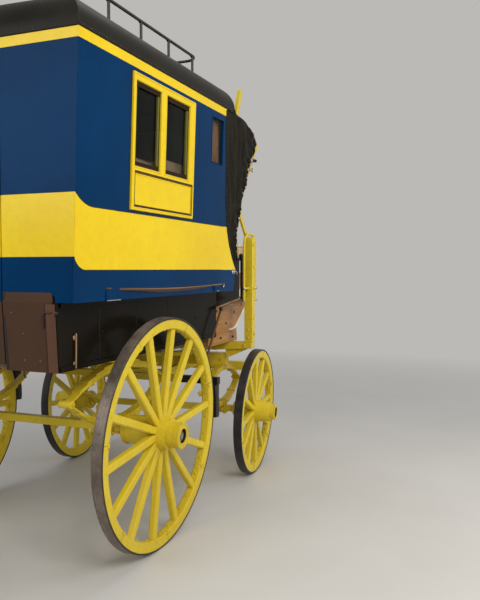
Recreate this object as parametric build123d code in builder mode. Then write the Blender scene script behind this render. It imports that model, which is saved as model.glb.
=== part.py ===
"""Four-wheeled public road coach, seen as it stands in a museum.

A tall cabin with a sunk well hangs on elliptic springs. A hooded driver's seat stands in front,
a luggage rail runs round the roof, and the front axle steers under the driver's feet.

Frame: +X is the coach's right, +Y forward, +Z up, in millimetres. The origin is on the ground, at
the middle of the coach's length and width. Lengths along Y are measured from the rear axle, and
each piece moves by ORIGIN_Y when it is written.
"""

from build123d import *
from collections import namedtuple
from math import asin, atan, cos, degrees, hypot, radians, sin, sqrt, tan
import os

# Small play and contact allowances
FIT = 0.3
DOOR_GAP = 8
PLATE_PLAY = 0.5
OVERSHOOT = 60

# Wheels, axial distances measured outwards from the rim's middle
CAMBER = radians(2.2)
TYRE_WIDTH = 60
TYRE_THICK = 10
FELLOE_WIDTH = 54
FELLOE_DEEP = 56
DISH = 12
BORE = 30
NUT_RADIUS = 34
NUT_THICK = 20
CUP_RADIUS = 40
CUP_DEEP = 34
COLLAR_RADIUS = 52
COLLAR_THICK = 14
COLLAR_GAP = 2
NAVE_BAND = 4
NAVE_BAND_WIDTH = 24
NAVE_SEAT = 30
NAVE_STEP = 16
SPOKE_TURN = 5.4
SPOKE_TENON = 14
SPOKE_TONGUE = 10
SPOKE_SWELL = 0.22
SPOKE_DEEP = (50, 42, 34)
SPOKE_WIDER = (-2, 2, 2)
SPOKE_CHAMFER = 0.14
FELLOE_CHAMFER = (6, 8)
TYRE_EDGE = 3
Wheel = namedtuple("Wheel", "radius track spokes inner outer inner_radius mid_radius cap_radius cap spoke")
REAR = Wheel(640, 755, 14, 217, 128, 80, 93, 70, 72, 42)
FRONT = Wheel(467, 750, 12, 150, 160, 66, 82, 56, 36, 36)
WHEELBASE = 1445
STEER_REST = 5

# Axles and springs
AXLE_SQUARE = 44
SPRING_WIDTH = 50
LEAF = 9
EYE_RADIUS = 19
EYE_BOLT = 9
EYE_ROOM = 2
UBOLT_RADIUS = 4
UBOLT_PLATE = 8
CLIP_THICK = 4
CLIP_HALF = 35
Spring = namedtuple("Spring", "x half leaves sag_lower sag_upper shortest")
PAD_HALF = 335
PAD_TOE = 12
PAD_FOOT = 100
PAD_PROUD = 5
REAR_SPRING = Spring(508, 490, 5, 159, 120, 110)
FRONT_SPRING = Spring(500, 400, 4, 125, 125, 110)

# Well, the sunk part of the body
BOARD = 25
WELL_HALF = 660
WELL_BOTTOM = 1070
WELL_SIDE = 20
WELL_FRONT_Y = 1015
WELL_REAR_LEAN = 21
LEDGE_Z = 1390
LEDGE_THICK = 20

# Cabin
REAR_Y = -766
SIDE_X = 752.2
SIDE_SLOPE = 0.0382
LEAN = atan(SIDE_SLOPE)
FRONT_WALL_Y = 885
FRONT_EDGE_Z = 2450
ARM_FRONT_Y = 1100
ARM_TIP_Y = 1130
ARM_WAIST_Y = 958
ARM_WAIST_Z = 1800
ARM_NECK_Y = 930
ARM_NECK_Z = 2000
BEAD_Z = 1445
BEAD_RADIUS = 7
BEAD_REAR_Y = -460
BEAD_FRONT_Y = 910
SideLine = namedtuple("SideLine", "z corner_z step_y")
SILL_FOOT = SideLine(LEDGE_Z, LEDGE_Z, 0)
BAND_FOOT = SideLine(1537, 1597, -674)
BAND_HEAD = SideLine(1825, 1881, -622)
CORNICE_LOW = 2546
CORNICE_HIGH = 2593
CORNICE_FOOT = SideLine(CORNICE_LOW, CORNICE_LOW, 0)
REAR_CUT_X = 656
REAR_CUT_STEP = 23
REAR_CUT_INNER_X = 603
REAR_CUT_Z = 1436

# Rear door
DOOR_HALF = 355
DOOR_LOW = 1100
DOOR_HIGH = 2425
DOOR_WINDOW_HALF = 215
DOOR_WINDOW_LOW = 1960
DOOR_WINDOW_HIGH = 2330
HINGE_RADIUS = 9
HINGE_OUT = 16
HINGE_HEIGHTS = (1470, 1710, 2300)
HINGE_HIGH = 60
HINGE_EAR = 16
HINGE_PIN = 5
HINGE_STRAP = 95
HANDLE_Z = 1740
HANDLE_HALF = 10
HANDLE_IN = (40, 60, 130)
HANDLE_OUT = (30, 42)

# Benches in the cabin
BENCH_X = 300
BENCH_CUSHION_X = 722
SEAT_PAD = 80
BACK_PAD = 60
BACK_TOP = 1950

# Side windows, Y and Z on the side wall
FRAME_REAR = -314
FRAME_FRONT = 390
FRAME_LOW = 1840
FRAME_HIGH = 2522
FRAME_PROUD = 10
FRAME_LIP = 9
PANE_LOW = 2062
PANE_HIGH = 2484
PANES = ((-290, -24), (34, 320))
LOWER_PANEL = (-280, 372, 1864, 2032)
PANEL_SINK = 7
GLASS = 5
SASH_WIDE = 24
SASH_THICK = 9
SMALL_WINDOW = (662, 836, 2220, 2503)
FRONT_WINDOW_HALF = 260
FRONT_WINDOW_Z = 2300
FRONT_WINDOW_HIGH = 300

# Roof and rail
ROOF_FRONT_Y = 1016
ROOF_EDGE_RISE = 30
ROOF_SHOULDER_X = 720
ROOF_SHOULDER_Z = 2750
ROOF_CROWN = 25
ROOF_END_ROUND = 78
ROOF_THICK = 20
RAIL_X = 600
RAIL_RISE = 172
RAIL_REAR_Y = -640
RAIL_FRONT_Y = 860
RAIL_RADIUS = 9
RAIL_CORNER = 90
RAIL_POSTS = 5

# Driver's place
CHEEK_X = 600
SEAT_Z = 1630
SEAT_FRONT_Y = 1600
SEAT_HALF = 650
SEAT_CUSHION = 100
SEAT_BACK_THICK = 90
SEAT_BACK_TOP = 2060
SEAT_BACK_ROOM = 100
SEAT_CUSHION_EDGE = 6
APRON_LOW = 1340
PLATFORM_FRONT_Y = 1532
PLATFORM_REAR_Y = 620
PLATFORM_RAIL_X = 420
PLATFORM_RAIL_WIDE = 40
CHEEK_FOOT_Y = 1552
CHEEK_KNEE_Z = 1119
CHEEK_TOE = (1767, 1278)
CHEEK_TIP = (1700, 1330)
CHEEK_REAR_Z = 1255
FRONT_END = 2150
TOE_HALF = 450
TOE_TOP = 1510
POST_X = 745
POST_SIZE = 60
POST_TOP = 1780
LOOP_HALF = 115
LOOP_RADIUS = 9
LOOP_RISE = 20
LOOP_FOOT = 1300
LOOP_CLIP_Z = 1392
LOOP_CLIP_HIGH = 16

# Leather hood with its yellow hoop, stays and stakes, outlines as Y and Z on the side plane
LEATHER = 12
HOOD_RIDGE = ((1017, 2645), (1110, 2606), (1290, 2593), (1408, 2547), (1470, 2500), (1545, 2474))
HOOD_FRONT = (
    (1111, 1600),
    (1074, 1618),
    (1055, 1742),
    (1073, 1846),
    (1187, 2063),
    (1245, 2175),
    (1305, 2268),
    (1350, 2328),
    (1400, 2396),
    (1440, 2460),
)
HOOP_FOOT = (1185, 2043)
HOOP_MIDDLE = (1345, 2245)
HOOP_HEAD_Y = 1505
HOOP_WIDE = 34
HOOP_THICK = 14
HOOP_BAR_RADIUS = 13
HOOP_PIN_RADIUS = 9
STAY_TOP = 2380
STAY_THICK = 14
STAY_WIDE = 30
STAKE_FOOT = (908, 1955)
STAKE_HEAD = (1180, 2776)
STAKE_WIDE = 40
STAKE_THICK = 20
STAKE_ROOM = 4

# Turning gear
BOLSTER_HALF = 770
BOLSTER_DEEP = 70
BOLSTER_TOP = 996
BOLSTER_LOW = 926
BOLSTER_END_LOW = 950
BOLSTER_STEP_X = 420
KNEE_X = (556, 562, 590, 746)
KNEE_LOW = 880
KNEE_THICK = 30
PLATE_RADIUS = 360
PLATE_WIDTH = 34
PLATE_THICK = 12
PIN_RADIUS = 15
PIN_NUT = 28
PIN_NUT_THICK = 25
PLATE_STUD = 12
LOWER_BOLSTER_HALF = 545
FUTCHELL_X = 170
FUTCHELL_WIDE = 50
FUTCHELL_HIGH = 58
FUTCHELL_REAR = -400
FUTCHELL_FRONT = 655
SPLINTER_HALF = 620
SPLINTER_DEEP = 64
SPLINTER_HIGH = 70
SPLINTER_BACK = 40
POLE_ROOM = 4
SOCKET_BORE = 35
SOCKET_HALF = 60
SOCKET_REAR = 260
SOCKET_FRONT = 560
TRACE_EYES = (-560, -240, 240, 560)
TRACE_BORE = 11

# Brake
BRAKE_X = 787
SHOE_WIDE = 66
BRAKE_ARC = (-4, 14)
BRAKE_LEVER_X = 700
BRAKE_LEVER_REAR = 1008
BRAKE_LEVER_Z = 1266
BRAKE_LEVER_RISE = 56
BRAKE_LEVER_AHEAD = 83
BRAKE_LEVER_RADIUS = 10
COLUMN_BACK = 48
COLUMN_RADIUS = 11
COLUMN_TOP = 1620
PULL_RADIUS = 8
SHOE_GAP = 8
SHOE_THICK = 48
BEAM_Y = 685
BEAM_Z = 825
BEAM_SIZE = 44
HANGER_X = 430
HANGER_HALF = 20
HANGER_THICK = 6
SHOE_BLOCK_DEEP = 36
SHOE_BLOCK_HIGH = 70

# Rear step
STEP_HALF = 240
STEP_DEEP = 170
STEP_THICK = 22
STEP_HANGER = 10
STEP_HANGER_Y = (-745, -700)
STEP_TREADS = ((-930, 840), (-1030, 590))
REAR_END = STEP_TREADS[-1][0]

ORIGIN_Y = -(FRONT_END + REAR_END) / 2
FORE = Location((0, WHEELBASE, 0), (0, 0, STEER_REST))


def save(name, piece, place=Location((0, 0, 0))):
    """Write one piece, placed in the coach and moved to the coach's origin."""
    placed = Location((0, ORIGIN_Y, 0)) * place * piece
    placed.label = name
    export_step(placed, f"parts/{name}.step")


def wheel_plane(wheel, side):
    """A wheel's middle plane, its normal along the axle arm, outwards and a little down."""
    across = side * (wheel.track + wheel.radius * sin(CAMBER))
    return Plane(
        origin=(across, 0, wheel.radius * cos(CAMBER)),
        x_dir=(0, 1, 0),
        z_dir=(side * cos(CAMBER), 0, -sin(CAMBER)),
    )


def coned(wheel, axial, inset=0):
    """Radius of the coned tread, which lies flat on the ground, less an inset."""
    return wheel.radius - inset - axial * tan(CAMBER)


def axle_height(wheel, axial):
    """Height of the axle arm's middle at an axial distance inside the rim."""
    return wheel.radius * cos(CAMBER) + axial * sin(CAMBER)


def side_x(z):
    """Half-width of the cabin's outside at a height."""
    return SIDE_X + SIDE_SLOPE * (z - LEDGE_Z)


def up(z):
    """Distance up the leaning side wall that reaches a height."""
    return (z - LEDGE_Z) / cos(LEAN)


def roof_z(x):
    """Height of the roof's crowned top at a distance from the middle."""
    radius = (ROOF_SHOULDER_X**2 + ROOF_CROWN**2) / (2 * ROOF_CROWN)
    return ROOF_SHOULDER_Z + ROOF_CROWN - radius + sqrt(radius**2 - x**2)


SIDE_PLANE = Plane(origin=(SIDE_X, 0, LEDGE_Z), x_dir=(0, 1, 0), z_dir=(cos(LEAN), 0, -sin(LEAN)))
REAR_PLANE = Plane(origin=(0, REAR_Y, 0), x_dir=(1, 0, 0), z_dir=(0, -1, 0))
CORNER = Vector(SIDE_SLOPE, 0, 1)
MITRE = Plane(
    origin=(SIDE_X, REAR_Y, LEDGE_Z),
    x_dir=CORNER,
    z_dir=CORNER.cross(Vector(-1 / cos(LEAN), 1, 0)),
)

SPRING_LOW_REAR = axle_height(REAR, REAR.inner) + AXLE_SQUARE / 2
SPRING_LOW_FRONT = axle_height(FRONT, FRONT.inner) + AXLE_SQUARE / 2


def eye_height(spring, low):
    """Height of a spring's eyes above the ground, from the foot of its lower pack."""
    return low + (spring.leaves - 0.5) * LEAF + spring.sag_lower


def spring_top(spring, low):
    """Height of the top of a spring's upper pack."""
    return eye_height(spring, low) + spring.sag_upper + (spring.leaves - 0.5) * LEAF


FRONT_SPRING_TOP = spring_top(FRONT_SPRING, SPRING_LOW_FRONT)
REAR_SPRING_TOP = spring_top(REAR_SPRING, SPRING_LOW_REAR)
LOWER_PLATE_TOP = BOLSTER_LOW - PLATE_THICK - PLATE_PLAY
LOWER_PLATE_LOW = LOWER_PLATE_TOP - PLATE_THICK


def make_wheel(wheel):
    """Nave, spokes and felloe of one wheel about the Z axis, its outer side up."""
    with BuildPart() as spoke:
        root = wheel.mid_radius - SPOKE_TENON
        tip = wheel.radius - TYRE_THICK - FELLOE_DEEP + SPOKE_TONGUE
        for share, deep, wider in zip((0, SPOKE_SWELL, 1), SPOKE_DEEP, SPOKE_WIDER):
            centre = (root + share * (tip - root), 0, -DISH * (1 - share))
            wide = wheel.spoke + wider
            with BuildSketch(Plane(origin=centre, x_dir=(0, 0, 1), z_dir=(1, 0, 0))) as cut:
                Rectangle(deep, wide)
                chamfer(cut.vertices(), wide * SPOKE_CHAMFER)
        loft(ruled=True)
    with BuildPart() as wood:
        with BuildSketch(Plane.XZ):
            with BuildLine():
                Polyline(
                    (BORE + FIT, -wheel.inner),
                    (wheel.inner_radius + NAVE_BAND, -wheel.inner),
                    (wheel.inner_radius + NAVE_BAND, -wheel.inner + NAVE_BAND_WIDTH),
                    (wheel.inner_radius, -wheel.inner + NAVE_BAND_WIDTH),
                    (wheel.inner_radius, -wheel.inner + 2 * NAVE_BAND_WIDTH),
                    (wheel.mid_radius, -DISH - NAVE_SEAT),
                    (wheel.mid_radius, -DISH + NAVE_SEAT),
                    (wheel.cap_radius + NAVE_STEP, wheel.outer - wheel.cap),
                    (wheel.cap_radius, wheel.outer - wheel.cap),
                    (wheel.cap_radius, wheel.outer),
                    (CUP_RADIUS, wheel.outer),
                    (CUP_RADIUS, wheel.outer - CUP_DEEP),
                    (BORE + FIT, wheel.outer - CUP_DEEP),
                    close=True,
                )
            make_face()
        revolve(axis=Axis.Z)
        half = FELLOE_WIDTH / 2
        inside = wheel.radius - TYRE_THICK - FELLOE_DEEP
        eased_out, eased_in = FELLOE_CHAMFER
        with BuildSketch(Plane.XZ):
            with BuildLine():
                Polyline(
                    (coned(wheel, -half, TYRE_THICK + FIT), -half),
                    (coned(wheel, half, TYRE_THICK + FIT), half),
                    (inside + eased_out, half),
                    (inside, half - eased_in),
                    (inside, -half + eased_in),
                    (inside + eased_out, -half),
                    close=True,
                )
            make_face()
        revolve(axis=Axis.Z)
        with PolarLocations(0, wheel.spokes, start_angle=SPOKE_TURN):
            add(spoke.part)
    return wood.part


def make_tyre(wheel):
    """Coned iron tyre of one wheel about the Z axis."""
    half = TYRE_WIDTH / 2
    with BuildPart() as tyre:
        with BuildSketch(Plane.XZ):
            with BuildLine():
                Polyline(
                    (coned(wheel, -half + TYRE_EDGE), -half + TYRE_EDGE),
                    (coned(wheel, half - TYRE_EDGE), half - TYRE_EDGE),
                    (coned(wheel, half) - TYRE_EDGE, half),
                    (coned(wheel, half, TYRE_THICK), half),
                    (coned(wheel, -half, TYRE_THICK), -half),
                    (coned(wheel, -half) - TYRE_EDGE, -half),
                    close=True,
                )
            make_face()
        revolve(axis=Axis.Z)
    return tyre.part


def make_axle(wheel):
    """Square axle bed with its collars, arms and end nuts, across the coach at Y 0."""
    with BuildPart() as axle:
        collar_face = wheel.inner + COLLAR_GAP
        bed_half = wheel.track + wheel.radius * sin(CAMBER) - collar_face * cos(CAMBER) - COLLAR_THICK / 2
        bed_z = axle_height(wheel, wheel.inner)
        with Locations((0, 0, bed_z)):
            Box(2 * bed_half, AXLE_SQUARE, AXLE_SQUARE)
        for side in (1, -1):
            middle = wheel_plane(wheel, side)
            with BuildSketch(middle.offset(-collar_face - COLLAR_THICK)):
                Circle(COLLAR_RADIUS)
            extrude(amount=COLLAR_THICK)
            with BuildSketch(middle.offset(-collar_face)):
                Circle(BORE)
            extrude(amount=collar_face + wheel.outer - CUP_DEEP + 1)
            with BuildSketch(middle.offset(wheel.outer - CUP_DEEP + 1)):
                RegularPolygon(NUT_RADIUS, 6)
            extrude(amount=NUT_THICK)
    return axle.part


def arc_leaf(radius, half, centre_z, rising):
    """Sketch of one curved leaf: a ring sector about (0, centre_z)."""
    spread = degrees(asin(half / (radius + LEAF)))
    middle = -90 if rising else 90
    with BuildSketch() as leaf:
        with BuildLine():
            inner = CenterArc((0, centre_z), radius, middle - spread, 2 * spread)
            outer = CenterArc((0, centre_z), radius + LEAF, middle - spread, 2 * spread)
            Line(inner @ 0, outer @ 0)
            Line(inner @ 1, outer @ 1)
        make_face()
    return leaf.sketch


def make_pack(spring, low, rising):
    """One half of an elliptic spring: stepped leaves with an eye at each end of the longest."""
    eye = eye_height(spring, low)
    sag = spring.sag_lower if rising else spring.sag_upper
    radius = (spring.half**2 + sag**2) / (2 * sag)
    centre_z = eye - sag + radius if rising else eye + sag - radius
    shorter = (spring.half - spring.shortest) / spring.leaves
    tongue = SPRING_WIDTH / 4
    with BuildPart() as pack:
        for leaf in range(spring.leaves):
            with BuildSketch(Plane.YZ):
                add(arc_leaf(radius + (leaf - 0.5) * LEAF, spring.half - leaf * shorter, centre_z, rising))
            extrude(amount=SPRING_WIDTH / 2, both=True)
        with BuildSketch(Plane.YZ):
            with Locations((-spring.half, eye), (spring.half, eye)):
                Circle(EYE_RADIUS + (EYE_ROOM if rising else 0))
        if rising:
            extrude(amount=SPRING_WIDTH / 2 + EYE_ROOM, both=True, mode=Mode.SUBTRACT)
            with BuildSketch(Plane.YZ):
                with Locations((-spring.half, eye), (spring.half, eye)):
                    Circle(EYE_RADIUS + EYE_ROOM)
                    Circle(EYE_BOLT + FIT, mode=Mode.SUBTRACT)
            extrude(amount=tongue - FIT, both=True)
        else:
            extrude(amount=SPRING_WIDTH / 2 + EYE_BOLT, both=True)
            with BuildSketch(Plane.YZ):
                with Locations((-spring.half, eye), (spring.half, eye)):
                    Circle(EYE_RADIUS + 2 * EYE_ROOM)
                    Circle(EYE_BOLT, mode=Mode.SUBTRACT)
            extrude(amount=tongue, both=True, mode=Mode.SUBTRACT)
        if rising:
            add(seat_bolts(low, low + spring.leaves * LEAF))
        else:
            top = eye + sag + (spring.leaves - 0.5) * LEAF
            wide = SPRING_WIDTH / 2 + CLIP_THICK
            under = top - spring.leaves * LEAF - CLIP_THICK
            add(block((-wide, wide), (-CLIP_HALF, CLIP_HALF), (under, top)))
    with BuildPart() as pair:
        with Locations((spring.x, 0, 0), (-spring.x, 0, 0)):
            add(pack.part)
    return pair.part


def seat_bolts(low, top):
    """Two U-bolts over the foot of a spring, before and behind the axle bed, and the plate below it."""
    out = SPRING_WIDTH / 2 + UBOLT_RADIUS + FIT
    reach = AXLE_SQUARE / 2 + UBOLT_RADIUS + FIT
    foot = low - AXLE_SQUARE - UBOLT_PLATE
    head = top + UBOLT_RADIUS - 1
    with BuildPart() as bolts:
        for y in (-reach, reach):
            add(
                rod(
                    (-out, y, foot),
                    (-out, y, head),
                    (out, y, head),
                    (out, y, foot),
                    radius=UBOLT_RADIUS,
                    bend=2 * UBOLT_RADIUS,
                )
            )
        across = out + 2 * UBOLT_RADIUS
        along = reach + 2 * UBOLT_RADIUS
        add(block((-across, across), (-along, along), (foot, foot + UBOLT_PLATE)))
    return bolts.part


def mirrored(right):
    """The right-hand piece with its mirror image on the left."""
    with BuildPart() as pair:
        add(right)
        mirror(about=Plane.YZ)
    return pair.part


def side_outline():
    """Outline of the cabin's side below the cornice, on the side plane."""
    with BuildSketch() as outline:
        with BuildLine():
            Polyline(
                (REAR_Y - OVERSHOOT, up(CORNICE_LOW)),
                (REAR_Y - OVERSHOOT, up(LEDGE_Z)),
                (ARM_FRONT_Y, up(LEDGE_Z)),
                (ARM_TIP_Y, up(BAND_FOOT.z)),
            )
            arm = Spline(
                (ARM_TIP_Y, up(BAND_FOOT.z)),
                (ARM_WAIST_Y, up(ARM_WAIST_Z)),
                (ARM_NECK_Y, up(ARM_NECK_Z)),
                (FRONT_WALL_Y, up(FRONT_EDGE_Z)),
                tangents=((-1, 1), (0, 1)),
            )
            Polyline(arm @ 1, (FRONT_WALL_Y, up(CORNICE_LOW)), (REAR_Y - OVERSHOOT, up(CORNICE_LOW)))
        make_face()
    return outline.sketch


def side_zone(low, high):
    """Zone between two lines on the side plane, each with its height, corner height and step's end."""
    far = ARM_TIP_Y + OVERSHOOT
    with BuildSketch() as zone:
        with BuildLine():
            ends = []
            for line in (low, high):
                step = line.step_y
                Line((far, up(line.z)), (step, up(line.z)))
                rise = up(line.corner_z) - up(line.z)
                if rise:
                    bend = TangentArc((step, up(line.z)), (REAR_Y, up(line.corner_z)), tangent=(-1, 0))
                    end = (REAR_Y - OVERSHOOT, up(line.corner_z) + rise)
                    Line(bend @ 1, end)
                else:
                    end = (REAR_Y - OVERSHOOT, up(line.z))
                    Line((step, up(line.z)), end)
                ends.append(end)
            Line(*ends)
            Line((far, up(low.z)), (far, up(high.z)))
        make_face()
    return zone.sketch


def window_cut(rear, front, low, high):
    """Rectangle on the side plane between two Y and two heights."""
    with BuildSketch() as opening:
        with Locations(((rear + front) / 2, (up(low) + up(high)) / 2)):
            Rectangle(front - rear, up(high) - up(low))
    return opening.sketch


def side_board(low, high, openings=()):
    """Right-hand board of the cabin's side, mitred at the rear corner, with its windows cut."""
    with BuildPart() as board:
        with BuildSketch(SIDE_PLANE):
            add(side_outline())
        extrude(amount=-BOARD)
        with BuildSketch(SIDE_PLANE):
            add(side_zone(low, high))
        extrude(amount=-BOARD, mode=Mode.INTERSECT)
        if openings:
            with BuildSketch(SIDE_PLANE):
                for opening in openings:
                    add(window_cut(*opening))
            extrude(amount=-BOARD, mode=Mode.SUBTRACT)
        split(bisect_by=MITRE, keep=Keep.BOTTOM)
    return board.part


def rear_half(outline):
    """Right half of a board of the rear wall from an outline in X and Z, mitred at the corner."""
    with BuildPart() as board:
        with BuildSketch(REAR_PLANE):
            add(outline)
        extrude(amount=-BOARD)
        split(bisect_by=MITRE, keep=Keep.TOP)
    return board.part


def sill_outline():
    """Right half of the blue board under the rear waist band, its foot stepped up round the well."""
    wide = side_x(CORNICE_HIGH) + OVERSHOOT
    jamb = DOOR_HALF + DOOR_GAP
    with BuildSketch() as sill:
        with BuildLine():
            Polyline(
                (REAR_CUT_INNER_X, REAR_CUT_Z),
                (jamb, REAR_CUT_Z),
                (jamb, BAND_FOOT.corner_z),
                (wide, BAND_FOOT.corner_z),
                (wide, LEDGE_Z),
                (REAR_CUT_X, LEDGE_Z),
                (REAR_CUT_X, LEDGE_Z + REAR_CUT_STEP),
            )
            step_top = (REAR_CUT_X, LEDGE_Z + REAR_CUT_STEP)
            TangentArc(step_top, (REAR_CUT_INNER_X, REAR_CUT_Z), tangent=(-0.6, 1))
        make_face()
    return sill.sketch


def polygon(*points):
    """Closed outline through points in the current plane's own two directions."""
    with BuildSketch() as outline:
        with BuildLine():
            Polyline(*points, close=True)
        make_face()
    return outline.sketch


def prism(plane, outline, amount, both=False):
    """Plain board of one outline on one plane."""
    with BuildPart() as board:
        with BuildSketch(plane):
            add(outline)
        extrude(amount=amount, both=both)
    return board.part


def rod(*points, radius, bend=0):
    """Round bar along straight runs, its corners bent to one radius."""
    with BuildPart() as bar:
        with BuildLine():
            path = FilletPolyline(*points, radius=bend) if bend else Polyline(*points)
        with BuildSketch(Plane(origin=path @ 0, z_dir=path % 0)):
            Circle(radius)
        sweep(path=path)
    return bar.part


def together(*pieces):
    """Several solids written as one node."""
    with BuildPart() as node:
        for piece in pieces:
            add(piece)
    return node.part


def block(x, y, z):
    """Box between two values along each axis, each a pair."""
    with BuildPart() as box:
        with Locations(((x[0] + x[1]) / 2, (y[0] + y[1]) / 2, (z[0] + z[1]) / 2)):
            Box(x[1] - x[0], y[1] - y[0], z[1] - z[0])
    return box.part


def write_wheels():
    """Wood and tyre of each wheel, the front pair on the turned fore-carriage."""
    for name, wheel, carriage in (("rear", REAR, Location()), ("front", FRONT, FORE)):
        wood = make_wheel(wheel)
        tyre = make_tyre(wheel)
        for hand, side in (("right", 1), ("left", -1)):
            place = carriage * wheel_plane(wheel, side).location
            save(f"wheel_{name}_{hand}", wood, place)
            save(f"tyre_{name}_{hand}", tyre, place)


def write_running_gear():
    """Axles, springs and the blocks between the rear springs and the well."""
    save("rear_axle", make_axle(REAR))
    save("front_axle", make_axle(FRONT), FORE)
    for name, spring, low, place in (
        ("rear_springs", REAR_SPRING, SPRING_LOW_REAR, Location()),
        ("front_springs", FRONT_SPRING, SPRING_LOW_FRONT, FORE),
    ):
        packs = [make_pack(spring, low, rising) for rising in (True, False)]
        save(name, together(*packs), place)
    pad = prism(
        Plane.YZ.offset(REAR_SPRING.x - SPRING_WIDTH / 2 - PAD_PROUD),
        polygon(
            (-PAD_HALF, WELL_BOTTOM),
            (-PAD_HALF, WELL_BOTTOM - PAD_TOE),
            (-PAD_FOOT, REAR_SPRING_TOP),
            (PAD_FOOT, REAR_SPRING_TOP),
            (PAD_HALF, WELL_BOTTOM - PAD_TOE),
            (PAD_HALF, WELL_BOTTOM),
        ),
        SPRING_WIDTH + 2 * PAD_PROUD,
    )
    save("rear_spring_blocks", mirrored(pad))


def write_well():
    """Sunk lower body: floor, sides, rear panel with its posts, and front."""
    rear_low = REAR_Y + WELL_REAR_LEAN
    inside = WELL_HALF - WELL_SIDE
    floor_top = WELL_BOTTOM + BOARD
    save(
        "well_floor",
        block((-inside, inside), (rear_low + BOARD + 2, WELL_FRONT_Y - BOARD), (WELL_BOTTOM, floor_top)),
    )
    lean_top = LEDGE_Z
    side = prism(
        Plane.YZ.offset(inside),
        polygon(
            (rear_low, WELL_BOTTOM),
            (REAR_Y, lean_top),
            (WELL_FRONT_Y, lean_top),
            (WELL_FRONT_Y, WELL_BOTTOM),
        ),
        WELL_SIDE,
    )
    save("well_sides", mirrored(side))
    save(
        "well_front",
        block((-inside, inside), (WELL_FRONT_Y - BOARD, WELL_FRONT_Y), (WELL_BOTTOM, lean_top)),
    )
    panel = prism(
        Plane.YZ.offset(DOOR_HALF + DOOR_GAP),
        polygon(
            (rear_low, WELL_BOTTOM),
            (REAR_Y, lean_top),
            (REAR_Y, REAR_CUT_Z),
            (REAR_Y + BOARD, REAR_CUT_Z),
            (REAR_Y + BOARD, lean_top),
            (rear_low + BOARD, WELL_BOTTOM),
        ),
        inside - DOOR_HALF - DOOR_GAP,
    )
    with BuildPart() as fitted:
        add(panel)
        with BuildSketch(REAR_PLANE):
            add(sill_outline())
        extrude(amount=-BOARD, mode=Mode.SUBTRACT)
    save("well_rear", mirrored(fitted.part))


def write_cabin():
    """Upper body: ledge over the well's sides, boards of the sides and rear, front wall."""
    inner = side_x(LEDGE_Z) - BOARD / cos(LEAN) - FIT
    aisle = WELL_HALF - WELL_SIDE
    ledge = polygon(
        (aisle, REAR_Y + BOARD),
        (inner, REAR_Y + BOARD),
        (inner, ARM_FRONT_Y),
        (CHEEK_X, ARM_FRONT_Y),
        (CHEEK_X, WELL_FRONT_Y),
        (-CHEEK_X, WELL_FRONT_Y),
        (-CHEEK_X, ARM_FRONT_Y),
        (-inner, ARM_FRONT_Y),
        (-inner, REAR_Y + BOARD),
        (-aisle, REAR_Y + BOARD),
        (-aisle, FRONT_WALL_Y - BOARD),
        (aisle, FRONT_WALL_Y - BOARD),
    )
    save("ledge", prism(Plane.XY.offset(LEDGE_Z), ledge, LEDGE_THICK))
    frame = (FRAME_REAR + FRAME_LIP, FRAME_FRONT - FRAME_LIP, FRAME_LOW + FRAME_LIP, FRAME_HIGH - FRAME_LIP)
    with BuildPart() as sill:
        add(side_board(SILL_FOOT, BAND_FOOT))
        with BuildSketch(Plane.XZ.offset(-BEAD_REAR_Y)):
            with Locations((side_x(BEAD_Z), BEAD_Z)):
                Circle(BEAD_RADIUS)
        extrude(amount=BEAD_REAR_Y - BEAD_FRONT_Y)
    save("side_sills", mirrored(sill.part))
    save("side_waist_bands", mirrored(side_board(BAND_FOOT, BAND_HEAD)))
    upper = side_board(BAND_HEAD, CORNICE_FOOT, (frame, SMALL_WINDOW))
    save("side_upper_right", upper)
    save("side_upper_left", mirror(upper, about=Plane.YZ))

    wide = side_x(CORNICE_HIGH) + OVERSHOOT
    jamb = DOOR_HALF + DOOR_GAP
    band = polygon((jamb, BAND_FOOT.corner_z), (wide, BAND_FOOT.corner_z),
                   (wide, BAND_HEAD.corner_z), (jamb, BAND_HEAD.corner_z))
    save("rear_waist_bands", mirrored(rear_half(band)))
    arch = polygon(
        (jamb, BAND_HEAD.corner_z),
        (wide, BAND_HEAD.corner_z),
        (wide, CORNICE_LOW),
        (0, CORNICE_LOW),
        (0, DOOR_HIGH + DOOR_GAP),
        (jamb, DOOR_HIGH + DOOR_GAP),
    )
    save("rear_boards", mirrored(together(rear_half(sill_outline()), rear_half(arch))))

    partition = prism(
        Plane.XZ.offset(BOARD - FRONT_WALL_Y),
        polygon(
            (side_x(LEDGE_Z) - BOARD - 3, LEDGE_Z + LEDGE_THICK),
            (side_x(CORNICE_HIGH) - BOARD - 3, CORNICE_HIGH),
            (-side_x(CORNICE_HIGH) + BOARD + 3, CORNICE_HIGH),
            (-side_x(LEDGE_Z) + BOARD + 3, LEDGE_Z + LEDGE_THICK),
        ),
        -BOARD,
    )
    with BuildPart() as front_wall:
        add(partition)
        with BuildSketch(Plane.XZ.offset(-FRONT_WALL_Y)):
            with Locations((0, FRONT_WINDOW_Z)):
                Rectangle(2 * FRONT_WINDOW_HALF, FRONT_WINDOW_HIGH)
        extrude(amount=BOARD, mode=Mode.SUBTRACT)
    save("front_wall", front_wall.part)


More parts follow.
